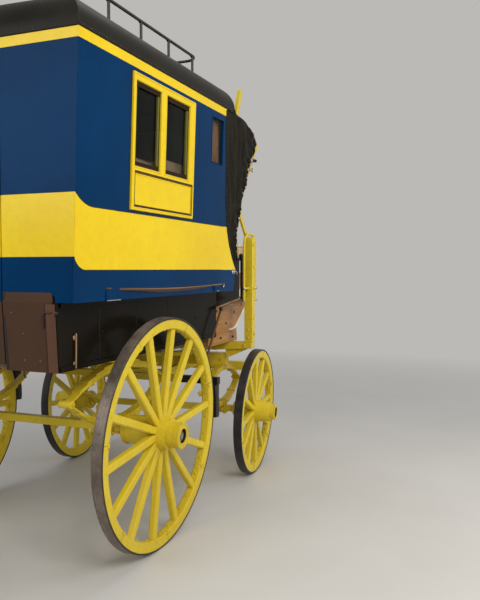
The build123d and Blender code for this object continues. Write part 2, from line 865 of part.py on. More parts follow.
def write_cornice():
    """Yellow strip under the roof: two sides mitred to the rear one."""
    with BuildPart() as strip:
        with BuildSketch(SIDE_PLANE):
            add(polygon(
                (REAR_Y - OVERSHOOT, up(CORNICE_LOW)),
                (FRONT_WALL_Y, up(CORNICE_LOW)),
                (FRONT_WALL_Y, up(CORNICE_HIGH) + BOARD),
                (REAR_Y - OVERSHOOT, up(CORNICE_HIGH) + BOARD),
            ))
        extrude(amount=-BOARD)
        split(bisect_by=MITRE, keep=Keep.BOTTOM)
        split(bisect_by=Plane.XY.offset(CORNICE_HIGH), keep=Keep.BOTTOM)
    wide = side_x(CORNICE_HIGH) + OVERSHOOT
    end = rear_half(polygon((0, CORNICE_LOW), (wide, CORNICE_LOW), (wide, CORNICE_HIGH), (0, CORNICE_HIGH)))
    save("cornice", mirrored(together(strip.part, end)))


def roof_form(inset):
    """Roof's outer form, or its hollow when inset: two rounded outlines crossed."""
    half = side_x(CORNICE_HIGH) - inset
    shoulder = ROOF_SHOULDER_X - inset * 0.6
    rear = REAR_Y + inset
    front = ROOF_FRONT_Y - inset
    low = CORNICE_HIGH - (OVERSHOOT if inset else 0)
    with BuildSketch() as across:
        with BuildLine():
            Line((0, low), (half, low))
            Line((half, low), (half, CORNICE_HIGH + ROOF_EDGE_RISE))
            shoulder_arc = TangentArc(
                (half, CORNICE_HIGH + ROOF_EDGE_RISE), (shoulder, ROOF_SHOULDER_Z - inset), tangent=(0, 1)
            )
            ThreePointArc(
                shoulder_arc @ 1,
                (0, ROOF_SHOULDER_Z + ROOF_CROWN - inset),
                (-shoulder, ROOF_SHOULDER_Z - inset),
            )
            TangentArc(
                (-half, CORNICE_HIGH + ROOF_EDGE_RISE), (-shoulder, ROOF_SHOULDER_Z - inset), tangent=(0, 1)
            )
            Polyline((-half, CORNICE_HIGH + ROOF_EDGE_RISE), (-half, low), (0, low))
        make_face()
    top = ROOF_SHOULDER_Z + ROOF_CROWN + 1 - inset
    with BuildSketch() as along:
        with BuildLine():
            Polyline((front, CORNICE_HIGH + ROOF_EDGE_RISE), (front, low), (rear, low),
                     (rear, CORNICE_HIGH + ROOF_EDGE_RISE))
            TangentArc((rear, CORNICE_HIGH + ROOF_EDGE_RISE), (rear + ROOF_END_ROUND, top), tangent=(0, 1))
            Line((rear + ROOF_END_ROUND, top), (front - ROOF_END_ROUND, top))
            TangentArc((front, CORNICE_HIGH + ROOF_EDGE_RISE), (front - ROOF_END_ROUND, top), tangent=(0, 1))
        make_face()
    with BuildPart() as form:
        with BuildSketch(Plane.XZ):
            add(across.sketch)
        extrude(amount=FRONT_END, both=True)
        with BuildSketch(Plane.YZ):
            add(along.sketch)
        extrude(amount=FRONT_END, both=True, mode=Mode.INTERSECT)
    return form.part


def write_roof():
    """Hollow black roof and the iron luggage rail on it."""
    outer = roof_form(0)
    inner = roof_form(ROOF_THICK)
    with BuildPart() as roof:
        add(outer)
        add(inner, mode=Mode.SUBTRACT)
        with Locations((0, (FRONT_WALL_Y + ROOF_FRONT_Y) / 2, CORNICE_HIGH + ROOF_THICK / 2)):
            Box(2 * side_x(CORNICE_HIGH) - 2, ROOF_FRONT_Y - FRONT_WALL_Y - 2, ROOF_THICK)
    save("roof", roof.part)
    rail_z = roof_z(RAIL_X) + RAIL_RISE
    foot_radius = 2.4 * RAIL_RADIUS
    post_foot = roof_z(RAIL_X - foot_radius) + FIT
    spacing = (RAIL_FRONT_Y - RAIL_REAR_Y - 2 * RAIL_CORNER) / (RAIL_POSTS - 1)
    with BuildPart() as rail:
        with BuildLine():
            route = FilletPolyline(
                (0, RAIL_FRONT_Y, rail_z),
                (RAIL_X, RAIL_FRONT_Y, rail_z),
                (RAIL_X, RAIL_REAR_Y, rail_z),
                (0, RAIL_REAR_Y, rail_z),
                radius=RAIL_CORNER,
            )
        with BuildSketch(Plane(origin=route @ 0, z_dir=route % 0)):
            Circle(RAIL_RADIUS)
        sweep(path=route.wire())
        for post in range(RAIL_POSTS):
            y = RAIL_REAR_Y + RAIL_CORNER + post * spacing
            with BuildSketch(Plane(origin=(RAIL_X, y, post_foot))):
                Circle(RAIL_RADIUS - 1)
            extrude(amount=rail_z - post_foot)
            with BuildSketch(Plane(origin=(RAIL_X, y, post_foot))):
                Circle(foot_radius)
            extrude(amount=5)
        mirror(about=Plane.YZ)
    save("roof_rail", rail.part)


def write_windows():
    """Yellow double frames set in the sides, and all fixed window glass."""
    rear, front = FRAME_REAR + FRAME_LIP + FIT, FRAME_FRONT - FRAME_LIP - FIT
    low, high = FRAME_LOW + FRAME_LIP + FIT, FRAME_HIGH - FRAME_LIP - FIT
    with BuildPart() as frame:
        with BuildSketch(SIDE_PLANE):
            add(window_cut(FRAME_REAR, FRAME_FRONT, FRAME_LOW, FRAME_HIGH))
        extrude(amount=FRAME_PROUD)
        with BuildSketch(SIDE_PLANE):
            add(window_cut(rear, front, low, high))
        extrude(amount=-BOARD)
        with BuildSketch(SIDE_PLANE.offset(FRAME_PROUD)):
            for pane_rear, pane_front in PANES:
                add(window_cut(pane_rear, pane_front, PANE_LOW, PANE_HIGH))
        extrude(amount=-BOARD - FRAME_PROUD, mode=Mode.SUBTRACT)
        with BuildSketch(SIDE_PLANE.offset(FRAME_PROUD)):
            add(window_cut(*LOWER_PANEL))
        extrude(amount=-PANEL_SINK, mode=Mode.SUBTRACT)
    save("side_window_frames", mirrored(frame.part))
    panes = [(pane_rear, pane_front, PANE_LOW, PANE_HIGH) for pane_rear, pane_front in PANES]
    with BuildPart() as sash:
        for pane_rear, pane_front, pane_low, pane_high in panes:
            with BuildSketch(SIDE_PLANE.offset((GLASS - BOARD) / 2 + FIT)):
                add(window_cut(pane_rear + FIT, pane_front - FIT, pane_low + FIT, pane_high - FIT))
                ends = (pane_rear + SASH_WIDE, pane_front - SASH_WIDE)
                add(window_cut(*ends, pane_low + SASH_WIDE, pane_high - SASH_WIDE), mode=Mode.SUBTRACT)
            extrude(amount=SASH_THICK)
    save("side_sashes", mirrored(sash.part))
    with BuildPart() as glass:
        with BuildSketch(SIDE_PLANE.offset(-(GLASS + BOARD) / 2)):
            for pane_rear, pane_front, pane_low, pane_high in (*panes, SMALL_WINDOW):
                add(window_cut(pane_rear + FIT, pane_front - FIT, pane_low + FIT, pane_high - FIT))
        extrude(amount=GLASS)
    with BuildPart() as front_pane:
        with BuildSketch(Plane.XZ.offset(-FRONT_WALL_Y + BOARD / 2)):
            with Locations((0, FRONT_WINDOW_Z)):
                Rectangle(2 * FRONT_WINDOW_HALF - 2 * FIT, FRONT_WINDOW_HIGH - 2 * FIT)
        extrude(amount=GLASS)
    save("window_glass", together(mirrored(glass.part), front_pane.part))


def write_benches():
    """Two long benches facing the aisle, with seat and back cushions."""
    floor_top = WELL_BOTTOM + BOARD
    length = (REAR_Y + WELL_REAR_LEAN + BOARD + 20, FRONT_WALL_Y - BOARD - 20)
    top = LEDGE_Z + LEDGE_THICK
    box = block((BENCH_X, WELL_HALF - WELL_SIDE), length, (floor_top, top))
    with BuildPart() as hollow:
        add(box)
        add(
            block(
                (BENCH_X + BOARD, WELL_HALF - WELL_SIDE),
                (length[0] + BOARD, length[1] - BOARD),
                (floor_top, top - BOARD),
            ),
            mode=Mode.SUBTRACT,
        )
    save("bench_boxes", mirrored(hollow.part))
    seat = block((BENCH_X, BENCH_CUSHION_X), length, (top, top + SEAT_PAD))
    save("bench_cushions", mirrored(seat))
    back = block((BENCH_CUSHION_X - BACK_PAD, BENCH_CUSHION_X), length, (top + SEAT_PAD, BACK_TOP))
    save("back_cushions", mirrored(back))


def write_door():
    """Rear door in blue, with its yellow band, brown foot, glass, handle and hinge pin."""
    rear_low = REAR_Y + WELL_REAR_LEAN
    lean = (REAR_Y - rear_low) / (LEDGE_Z - WELL_BOTTOM)

    def face_y(z):
        return REAR_Y if z >= LEDGE_Z else REAR_Y - lean * (LEDGE_Z - z)

    def slab(low, high):
        return prism(
            Plane.YZ.offset(-DOOR_HALF),
            polygon(
                (face_y(low), low),
                (face_y(high), high),
                (face_y(high) + BOARD, high),
                (face_y(low) + BOARD, low),
            ),
            2 * DOOR_HALF,
        )

    save("door_foot", slab(DOOR_LOW, LEDGE_Z))
    save("door_waist_band", slab(BAND_FOOT.corner_z, BAND_HEAD.corner_z))
    with BuildPart() as leaf:
        add(slab(LEDGE_Z, BAND_FOOT.corner_z))
        add(slab(BAND_HEAD.corner_z, DOOR_HIGH))
        with BuildSketch(REAR_PLANE):
            with Locations((0, (DOOR_WINDOW_LOW + DOOR_WINDOW_HIGH) / 2)):
                Rectangle(2 * DOOR_WINDOW_HALF, DOOR_WINDOW_HIGH - DOOR_WINDOW_LOW)
        extrude(amount=-BOARD, mode=Mode.SUBTRACT)
    save("door_leaf", leaf.part)
    with BuildPart() as glass:
        with BuildSketch(REAR_PLANE.offset(-BOARD / 2)):
            with Locations((0, (DOOR_WINDOW_LOW + DOOR_WINDOW_HIGH) / 2)):
                Rectangle(2 * (DOOR_WINDOW_HALF - FIT), DOOR_WINDOW_HIGH - DOOR_WINDOW_LOW - 2 * FIT)
        extrude(amount=GLASS)
    save("door_glass", glass.part)
    pin_x, pin_y = -DOOR_HALF - DOOR_GAP / 2, REAR_Y - HINGE_OUT
    strap = (pin_y + HINGE_RADIUS / 2, REAR_Y)
    moving, fixed = [], []
    for z in HINGE_HEIGHTS:
        with BuildPart() as knuckle:
            with BuildSketch(Plane(origin=(pin_x, pin_y, z))):
                Circle(HINGE_RADIUS)
            extrude(amount=HINGE_HIGH)
            add(block((pin_x, pin_x + HINGE_STRAP), strap, (z, z + HINGE_HIGH)))
            with BuildSketch(Plane(origin=(pin_x, pin_y, z))):
                Circle(HINGE_PIN + FIT)
            extrude(amount=HINGE_HIGH, mode=Mode.SUBTRACT)
        moving.append(knuckle.part)
        with BuildPart() as jamb_half:
            for low in (z - HINGE_EAR - PLATE_PLAY, z + HINGE_HIGH + PLATE_PLAY):
                with BuildSketch(Plane(origin=(pin_x, pin_y, low))):
                    Circle(HINGE_RADIUS)
                extrude(amount=HINGE_EAR)
                add(block((pin_x - HINGE_STRAP, pin_x), strap, (low, low + HINGE_EAR)))
            with BuildSketch(Plane(origin=(pin_x, pin_y, z - HINGE_EAR))):
                Circle(HINGE_PIN)
            extrude(amount=HINGE_HIGH + 2 * HINGE_EAR)
        fixed.append(jamb_half.part)
    end, stem, grip = HANDLE_IN
    near, far = HANDLE_OUT
    high = (HANDLE_Z - HANDLE_HALF, HANDLE_Z + HANDLE_HALF)
    handle = (
        block((DOOR_HALF - stem, DOOR_HALF - end), (REAR_Y - near, REAR_Y), high),
        block((DOOR_HALF - grip, DOOR_HALF - end), (REAR_Y - far, REAR_Y - near), high),
    )
    save("door_fittings", together(*moving, *handle))
    save("door_hinge_posts", together(*fixed))


def hood_ridge(drop):
    """Side line of the hood's top, lowered."""
    return [(y, z - drop) for y, z in HOOD_RIDGE]


def bar_outline(foot, head, wide):
    """Straight bar with a round head, seen from the side, between two points of Y and Z."""
    along = Vector(*head) - Vector(*foot)
    across = Vector(-along.Y, along.X).normalized() * (wide / 2)
    low, high = Vector(*foot), Vector(*head)
    with BuildSketch() as outline:
        with BuildLine():
            Polyline(high - across, low - across, low + across, high + across)
            ThreePointArc(high + across, high + along.normalized() * (wide / 2), high - across)
        make_face()
    return outline.sketch


def hoop_head():
    """Middle of the hoop's cross bar, just under the hood's top sheet."""
    for (rear_y, rear_z), (front_y, front_z) in zip(HOOD_RIDGE, HOOD_RIDGE[1:]):
        if rear_y <= HOOP_HEAD_Y <= front_y:
            slope = (front_z - rear_z) / (front_y - rear_y)
            room = (HOOP_BAR_RADIUS + FIT) * hypot(1, slope)
            return HOOP_HEAD_Y, rear_z + (HOOP_HEAD_Y - rear_y) * slope - LEATHER - room


def hoop_outline():
    """Curved side arm of the hood's front hoop, on the side plane."""
    route = [(y, up(z)) for y, z in (HOOP_FOOT, HOOP_MIDDLE, hoop_head())]
    with BuildSketch() as outline:
        with BuildLine():
            ThreePointArc(*route)
        trace(line_width=HOOP_WIDE)
    return outline.sketch


def write_cheeks():
    """Tan boards that join the well to the footboard, and the platform between them."""
    cheek = prism(
        Plane.YZ.offset(CHEEK_X - BOARD),
        polygon(
            (WELL_FRONT_Y, BOLSTER_TOP),
            (CHEEK_FOOT_Y, BOLSTER_TOP),
            (PLATFORM_FRONT_Y, CHEEK_KNEE_Z),
            CHEEK_TOE,
            CHEEK_TIP,
            (WELL_FRONT_Y, CHEEK_REAR_Z),
        ),
        BOARD,
    )
    save("cheeks", mirrored(cheek))
    inner = CHEEK_X - BOARD
    half = PLATFORM_RAIL_WIDE / 2
    rails = block(
        (PLATFORM_RAIL_X - half, PLATFORM_RAIL_X + half),
        (PLATFORM_REAR_Y, PLATFORM_FRONT_Y),
        (BOLSTER_TOP, WELL_BOTTOM),
    )
    deck = block((-inner, inner), (WELL_FRONT_Y, PLATFORM_FRONT_Y), (WELL_BOTTOM, WELL_BOTTOM + BOARD))
    save("driver_platform", together(deck, mirrored(rails)))
    toe = prism(
        Plane.YZ,
        polygon(
            (PLATFORM_FRONT_Y, WELL_BOTTOM),
            (FRONT_END, TOE_TOP - BOARD),
            (FRONT_END - BOARD / 2, TOE_TOP),
            (PLATFORM_FRONT_Y, WELL_BOTTOM + BOARD),
        ),
        TOE_HALF,
        both=True,
    )
    save("toe_board", toe)


def write_driver_seat():
    """Seat box on the cheeks, with its board, front apron and cushions."""
    tip_y, tip_z = CHEEK_TIP
    cheek_slope = (tip_z - CHEEK_REAR_Z) / (tip_y - WELL_FRONT_Y)
    seat_side = prism(
        Plane.YZ.offset(CHEEK_X - BOARD),
        polygon(
            (WELL_FRONT_Y, CHEEK_REAR_Z),
            (SEAT_FRONT_Y, CHEEK_REAR_Z + (SEAT_FRONT_Y - WELL_FRONT_Y) * cheek_slope),
            (SEAT_FRONT_Y, SEAT_Z - BOARD),
            (WELL_FRONT_Y, SEAT_Z - BOARD),
        ),
        BOARD,
    )
    inner = CHEEK_X - BOARD
    seat_board = block((-SEAT_HALF, SEAT_HALF), (FRONT_WALL_Y, SEAT_FRONT_Y), (SEAT_Z - BOARD, SEAT_Z))
    apron = block((-inner, inner), (SEAT_FRONT_Y - BOARD, SEAT_FRONT_Y), (APRON_LOW, SEAT_Z - BOARD))
    save("driver_seat_box", together(mirrored(seat_side), seat_board, apron))
    cushion_top = SEAT_Z + SEAT_CUSHION
    cushion_rear = FRONT_WALL_Y + SEAT_BACK_THICK + SEAT_BACK_ROOM
    cushion_front = SEAT_FRONT_Y - SEAT_CUSHION_EDGE
    cushion = block((-SEAT_HALF, SEAT_HALF), (cushion_rear, cushion_front), (SEAT_Z, cushion_top))
    back_front = FRONT_WALL_Y + SEAT_BACK_THICK
    back = block((-inner, inner), (FRONT_WALL_Y, back_front), (cushion_top, SEAT_BACK_TOP))
    save("driver_cushions", together(cushion, back))


def write_posts():
    """Two posts on the bolster's ends, each with its iron grab loop."""
    post = block(
        (POST_X - POST_SIZE / 2, POST_X + POST_SIZE / 2),
        (WHEELBASE - POST_SIZE / 2, WHEELBASE + POST_SIZE / 2),
        (BOLSTER_TOP, POST_TOP),
    )
    with BuildPart() as rounded_post:
        add(post)
        fillet(rounded_post.faces().sort_by(Axis.Z)[-1].edges().filter_by(Axis.X), POST_SIZE / 2 - 1)
    save("seat_posts", mirrored(rounded_post.part))
    loop_top = POST_TOP + LOOP_RISE
    loop = rod(
        (POST_X, WHEELBASE - LOOP_HALF, LOOP_FOOT),
        (POST_X, WHEELBASE - LOOP_HALF, loop_top),
        (POST_X, WHEELBASE + LOOP_HALF, loop_top),
        (POST_X, WHEELBASE + LOOP_HALF, LOOP_FOOT),
        radius=LOOP_RADIUS,
        bend=LOOP_HALF - 25,
    )
    clips = [
        block(
            (POST_X - LOOP_RADIUS + 1, POST_X + LOOP_RADIUS - 1),
            sorted((WHEELBASE + end * POST_SIZE / 2, WHEELBASE + end * LOOP_HALF)),
            (LOOP_CLIP_Z, LOOP_CLIP_Z + LOOP_CLIP_HIGH),
        )
        for end in (-1, 1)
    ]
    save("grab_irons", mirrored(together(loop, *clips)))


def write_hood_bows():
    """Yellow hoop under the hood's front edge, a stay from each post, and the raking stakes."""
    inside = -LEATHER - FIT
    arm = prism(SIDE_PLANE.offset(inside), hoop_outline(), -HOOP_THICK)
    head_y, head_z = hoop_head()
    head_x = side_x(head_z) + inside - HOOP_THICK / 2
    bar = rod((-head_x, head_y, head_z), (head_x, head_y, head_z), radius=HOOP_BAR_RADIUS)
    stay_x = POST_X - LOOP_RADIUS - 1
    stay_top = (FRONT_WALL_Y, STAY_TOP)
    post_head = WHEELBASE, POST_TOP - POST_SIZE / 2
    with BuildPart() as stay:
        with BuildSketch(Plane.YZ.offset(stay_x)):
            add(bar_outline(stay_top, post_head, STAY_WIDE))
        extrude(amount=-STAY_THICK)
        split(bisect_by=Plane.XZ.offset(-FRONT_WALL_Y), keep=Keep.BOTTOM)
        with BuildSketch(Plane.YZ.offset(stay_x)):
            with Locations(post_head):
                Circle(POST_SIZE / 2 + 2 * FIT)
        extrude(amount=-STAY_THICK, mode=Mode.SUBTRACT)
    foot_y, foot_z = HOOP_FOOT
    pin_end = side_x(foot_z) + inside - HOOP_THICK / 2
    pin = rod((stay_x - STAY_THICK, foot_y, foot_z), (pin_end, foot_y, foot_z), radius=HOOP_PIN_RADIUS)
    stake = prism(SIDE_PLANE.offset(-BOARD), stake_outline(0), -STAKE_THICK)
    save("hood_bows", together(mirrored(together(arm, stay.part, pin)), bar, mirrored(stake)))


def stake_outline(grown):
    """Raking stake on the side plane, grown on each side."""
    foot = Vector(STAKE_FOOT[0], up(STAKE_FOOT[1]))
    head = Vector(STAKE_HEAD[0], up(STAKE_HEAD[1]))
    return bar_outline(foot, head, STAKE_WIDE + 2 * grown)


def write_hood():
    """Leather hood: a curtain down each side and a top sheet, notched round the stakes."""
    under = hood_ridge(LEATHER + 1)
    edge = [(y, up(z)) for y, z in (*HOOD_FRONT, *reversed(under[1:-1]))]
    tail = FRONT_WALL_Y + FIT
    head = up(CORNICE_HIGH - 1)
    with BuildPart() as curtain:
        with BuildSketch(SIDE_PLANE.offset(FIT)):
            with BuildLine():
                Polyline(*edge, (under[0][0], head), (tail, head), (tail, up(HOOD_FRONT[0][1])), close=True)
            make_face()
            add(Location((3 * FIT, 0, 0)) * side_outline(), mode=Mode.SUBTRACT)
        extrude(amount=-LEATHER)
    save("hood_curtains", mirrored(curtain.part))
    sheet = polygon(*hood_ridge(0), *reversed(hood_ridge(LEATHER)))
    notch_plane = SIDE_PLANE.offset(STAKE_ROOM - BOARD)
    notch = prism(notch_plane, stake_outline(STAKE_ROOM), -STAKE_THICK - 2 * STAKE_ROOM)
    with BuildPart() as top:
        with BuildSketch(Plane.YZ):
            add(sheet)
        extrude(amount=side_x(HOOD_RIDGE[-1][1]) + 2, both=True)
        add(mirrored(notch), mode=Mode.SUBTRACT)
    save("hood_top", top.part)


def ring(outer, width, low, thick):
    """Flat ring about the kingpin."""
    with BuildPart() as flat:
        with BuildSketch(Plane.XY.offset(low)):
            Circle(outer)
            Circle(outer - width, mode=Mode.SUBTRACT)
        extrude(amount=thick)
    return flat.part


def write_turning_gear():
    """Bolsters, wheel plates, kingpin, futchells, splinter bar and pole socket."""
    ahead = Location((0, WHEELBASE, 0))
    with BuildPart() as bolster:
        with BuildSketch(Plane.XZ):
            with BuildLine():
                Polyline(
                    (-BOLSTER_HALF, BOLSTER_TOP),
                    (BOLSTER_HALF, BOLSTER_TOP),
                    (BOLSTER_HALF, BOLSTER_END_LOW),
                    (BOLSTER_STEP_X, BOLSTER_LOW),
                    (-BOLSTER_STEP_X, BOLSTER_LOW),
                    (-BOLSTER_HALF, BOLSTER_END_LOW),
                    close=True,
                )
            make_face()
        extrude(amount=BOLSTER_DEEP / 2, both=True)
        knee_in, knee_foot_in, knee_foot_out, knee_out = KNEE_X
        knee = polygon(
            (knee_in, BOLSTER_LOW + BOLSTER_DEEP / 2),
            (knee_in, BOLSTER_LOW),
            (knee_foot_in, KNEE_LOW),
            (knee_foot_out, KNEE_LOW),
            (knee_out, BOLSTER_END_LOW),
            (knee_out, BOLSTER_LOW + BOLSTER_DEEP / 2),
        )
        add(mirrored(prism(Plane.XZ, knee, KNEE_THICK / 2, both=True)))
    save("upper_bolster", bolster.part, ahead)
    with BuildPart() as upper_plate:
        add(ring(PLATE_RADIUS, PLATE_WIDTH, BOLSTER_LOW - PLATE_THICK, PLATE_THICK))
        middle = PLATE_RADIUS - PLATE_WIDTH / 2
        for y in (-middle, middle):
            with BuildSketch(Plane(origin=(0, y, BOLSTER_LOW))):
                Circle(PLATE_STUD - 1)
            extrude(amount=WELL_BOTTOM - BOLSTER_LOW)
    lower_bolster_low = FRONT_SPRING_TOP
    pin_low = lower_bolster_low - PIN_NUT_THICK - 1
    with BuildPart() as kingpin:
        with BuildSketch(Plane.XY.offset(pin_low)):
            Circle(PIN_RADIUS)
        extrude(amount=BOLSTER_LOW - pin_low)
        with BuildSketch(Plane.XY.offset(pin_low)):
            RegularPolygon(PIN_NUT, 6)
        extrude(amount=PIN_NUT_THICK)
    save("upper_wheel_plate", together(upper_plate.part, kingpin.part), ahead)
    with BuildPart() as lower_bolster:
        with Locations((0, 0, (lower_bolster_low + LOWER_PLATE_LOW) / 2)):
            Box(2 * LOWER_BOLSTER_HALF, BOLSTER_DEEP, LOWER_PLATE_LOW - lower_bolster_low)
        with BuildSketch(Plane.XY.offset(lower_bolster_low)):
            Circle(PIN_RADIUS + FIT)
        extrude(amount=BOLSTER_HALF, mode=Mode.SUBTRACT)
    save("lower_bolster", lower_bolster.part, FORE)
    futchell_top = lower_bolster_low
    rest_y = sqrt((PLATE_RADIUS - PLATE_WIDTH / 2) ** 2 - FUTCHELL_X**2)
    with BuildPart() as lower_plate:
        add(ring(PLATE_RADIUS, PLATE_WIDTH, LOWER_PLATE_LOW, PLATE_THICK))
        for x in (-FUTCHELL_X, FUTCHELL_X):
            for y in (-rest_y, rest_y):
                with BuildSketch(Plane(origin=(x, y, futchell_top))):
                    Circle(PLATE_STUD)
                extrude(amount=LOWER_PLATE_LOW - futchell_top)
    save("lower_wheel_plate", lower_plate.part, FORE)
    low = futchell_top - FUTCHELL_HIGH
    bar = block((FUTCHELL_X - FUTCHELL_WIDE / 2, FUTCHELL_X + FUTCHELL_WIDE / 2),
                (FUTCHELL_REAR, FUTCHELL_FRONT), (low, futchell_top))
    sway = block((-FUTCHELL_X, FUTCHELL_X), (FUTCHELL_REAR, FUTCHELL_REAR + 50), (low, futchell_top))
    save("futchells", together(mirrored(bar), sway), FORE)
    splinter_y = FUTCHELL_FRONT - SPLINTER_BACK
    with BuildPart() as splinter:
        with Locations((0, splinter_y, low - SPLINTER_HIGH / 2)):
            Box(2 * SPLINTER_HALF, SPLINTER_DEEP, SPLINTER_HIGH)
        for x in TRACE_EYES:
            with BuildSketch(Plane(origin=(x, splinter_y, low - SPLINTER_HIGH))):
                Circle(TRACE_BORE)
            extrude(amount=SPLINTER_HIGH, mode=Mode.SUBTRACT)
    save("splinter_bar", splinter.part, FORE)
    inner = FUTCHELL_X - FUTCHELL_WIDE / 2
    socket_z = low + SOCKET_BORE + POLE_ROOM
    with BuildPart() as socket:
        with Locations((0, (SOCKET_REAR + SOCKET_FRONT) / 2, socket_z)):
            Box(2 * SOCKET_HALF, SOCKET_FRONT - SOCKET_REAR, 2 * SOCKET_HALF)
        for y in (SOCKET_REAR + 25, SOCKET_FRONT - 25):
            with Locations((0, y, socket_z)):
                Box(2 * inner, 30, FUTCHELL_HIGH - 10)
        with BuildSketch(Plane(origin=(0, SOCKET_REAR + 20, socket_z), z_dir=(0, 1, 0))):
            Circle(SOCKET_BORE)
        extrude(amount=SOCKET_FRONT, mode=Mode.SUBTRACT)
    save("pole_socket", socket.part, FORE)


def write_brake():
    """Screw-brake lever at the right of the driver, its rod, the hung beam and two shoes."""
    hub_z = REAR.radius * cos(CAMBER)
    low_angle, high_angle = BRAKE_ARC
    inner = REAR.radius + SHOE_GAP
    with BuildPart() as shoe:
        with BuildSketch(Plane.YZ.offset(BRAKE_X - SHOE_WIDE / 2)):
            with BuildLine():
                near = CenterArc((0, hub_z), inner, low_angle, high_angle - low_angle)
                far = CenterArc((0, hub_z), inner + SHOE_THICK, low_angle, high_angle - low_angle)
                Line(near @ 0, far @ 0)
                Line(near @ 1, far @ 1)
            make_face()
        extrude(amount=SHOE_WIDE)
        with Locations((BRAKE_X, BEAM_Y + 4, BEAM_Z - (BEAM_SIZE + SHOE_BLOCK_HIGH) / 2)):
            Box(SHOE_WIDE - 10, SHOE_BLOCK_DEEP, SHOE_BLOCK_HIGH)
    beam_half = BRAKE_X + SHOE_WIDE / 2 + 2
    beam = block(
        (-beam_half, beam_half),
        (BEAM_Y - BEAM_SIZE / 2, BEAM_Y + BEAM_SIZE / 2),
        (BEAM_Z - BEAM_SIZE / 2, BEAM_Z + BEAM_SIZE / 2),
    )
    hanger = block(
        (HANGER_X - HANGER_HALF, HANGER_X + HANGER_HALF),
        (BEAM_Y - HANGER_THICK, BEAM_Y + HANGER_THICK),
        (BEAM_Z + BEAM_SIZE / 2, BOLSTER_TOP),
    )
    save("brake_beam", together(beam, mirrored(shoe.part), mirrored(hanger)))
    pull_top = (BRAKE_LEVER_X, BRAKE_LEVER_REAR, BRAKE_LEVER_Z)
    lever_front = WHEELBASE + BRAKE_LEVER_AHEAD
    slope = BRAKE_LEVER_RISE / (lever_front - BRAKE_LEVER_REAR)
    lever = rod(
        (BRAKE_LEVER_X, lever_front, BRAKE_LEVER_Z + BRAKE_LEVER_RISE), pull_top, radius=BRAKE_LEVER_RADIUS
    )
    column_y = WHEELBASE - COLUMN_BACK
    column_foot = BRAKE_LEVER_Z + (column_y - BRAKE_LEVER_REAR) * slope
    column = rod(
        (BRAKE_LEVER_X, column_y, column_foot), (BRAKE_LEVER_X, column_y, COLUMN_TOP), radius=COLUMN_RADIUS
    )
    beam_top = BEAM_Z + BEAM_SIZE / 2
    run = hypot(BRAKE_LEVER_REAR - BEAM_Y, BRAKE_LEVER_Z - beam_top)
    tilt = (BRAKE_LEVER_REAR - BEAM_Y) / run
    pull = rod(pull_top, (BRAKE_LEVER_X, BEAM_Y, beam_top + PULL_RADIUS * tilt + FIT), radius=PULL_RADIUS)
    pivot_z = BRAKE_LEVER_Z + (WHEELBASE - BRAKE_LEVER_REAR) * slope
    pin = BRAKE_LEVER_RADIUS - 1
    pivot = block(
        (BRAKE_LEVER_X, POST_X - POST_SIZE / 2),
        (WHEELBASE - pin, WHEELBASE + pin),
        (pivot_z - pin, pivot_z + pin),
    )
    save("brake_lever", together(column, lever, pull, pivot))


def write_step():
    """Two-tread iron step below the rear door, hung from the well's floor."""
    treads = []
    for y, z in STEP_TREADS:
        treads.append(block((-STEP_HALF, STEP_HALF), (y, y + STEP_DEEP), (z, z + STEP_THICK)))
    last_y, last_z = STEP_TREADS[-1]
    hanger = prism(
        Plane.YZ.offset(STEP_HALF),
        polygon(
            (REAR_END, last_z),
            (REAR_END + STEP_DEEP, last_z),
            (STEP_HANGER_Y[1], WELL_BOTTOM),
            (STEP_HANGER_Y[0], WELL_BOTTOM),
            (REAR_END, last_z + STEP_THICK),
        ),
        STEP_HANGER,
    )
    save("rear_step", together(*treads, mirrored(hanger)))


os.makedirs("parts", exist_ok=True)
write_wheels()
write_running_gear()
write_well()
write_cabin()
write_cornice()
write_roof()
write_windows()
write_benches()
write_door()
write_cheeks()
write_driver_seat()
write_posts()
write_hood_bows()
write_hood()
write_turning_gear()
write_brake()
write_step()
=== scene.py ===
"""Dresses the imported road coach: paint, leather, cloth, wood, iron, small fittings, studio and camera.

Lengths in this script are the part's own millimetres, measured along Y from the rear axle, and
place() turns them into the row frame's metres.
"""

from math import asin, cos, hypot, pi, radians, sin

import bmesh
import bpy
from mathutils import Matrix, Vector, kdtree, noise


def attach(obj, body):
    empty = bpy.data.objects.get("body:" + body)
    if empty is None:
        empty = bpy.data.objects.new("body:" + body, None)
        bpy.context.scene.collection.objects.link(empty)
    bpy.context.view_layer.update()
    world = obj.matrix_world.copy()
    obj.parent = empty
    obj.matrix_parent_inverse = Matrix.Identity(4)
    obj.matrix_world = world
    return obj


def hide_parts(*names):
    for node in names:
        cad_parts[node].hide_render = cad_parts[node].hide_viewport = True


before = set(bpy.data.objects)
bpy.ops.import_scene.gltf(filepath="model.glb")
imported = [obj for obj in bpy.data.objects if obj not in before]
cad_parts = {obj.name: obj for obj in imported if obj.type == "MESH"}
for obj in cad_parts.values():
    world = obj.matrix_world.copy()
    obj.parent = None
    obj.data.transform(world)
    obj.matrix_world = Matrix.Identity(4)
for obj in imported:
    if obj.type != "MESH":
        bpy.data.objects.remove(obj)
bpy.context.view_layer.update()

# Values repeated from the part's source, in millimetres
ORIGIN_Y = -560
WHEELBASE = 1445
STEER_REST = radians(5)
CAMBER = radians(2.2)
REAR_WHEEL = {"radius": 640, "track": 755, "spokes": 14, "nave_out": 128, "nave_in": 217, "cap_radius": 70,
              "inner_radius": 80}
FRONT_WHEEL = {"radius": 467, "track": 750, "spokes": 12, "nave_out": 160, "nave_in": 150, "cap_radius": 56,
               "inner_radius": 66}
AXLE_HALF = 22
LEAF = 9
LEDGE_Z = 1390
SIDE_X = 752.2
SIDE_SLOPE = 0.0382
REAR_Y = -766
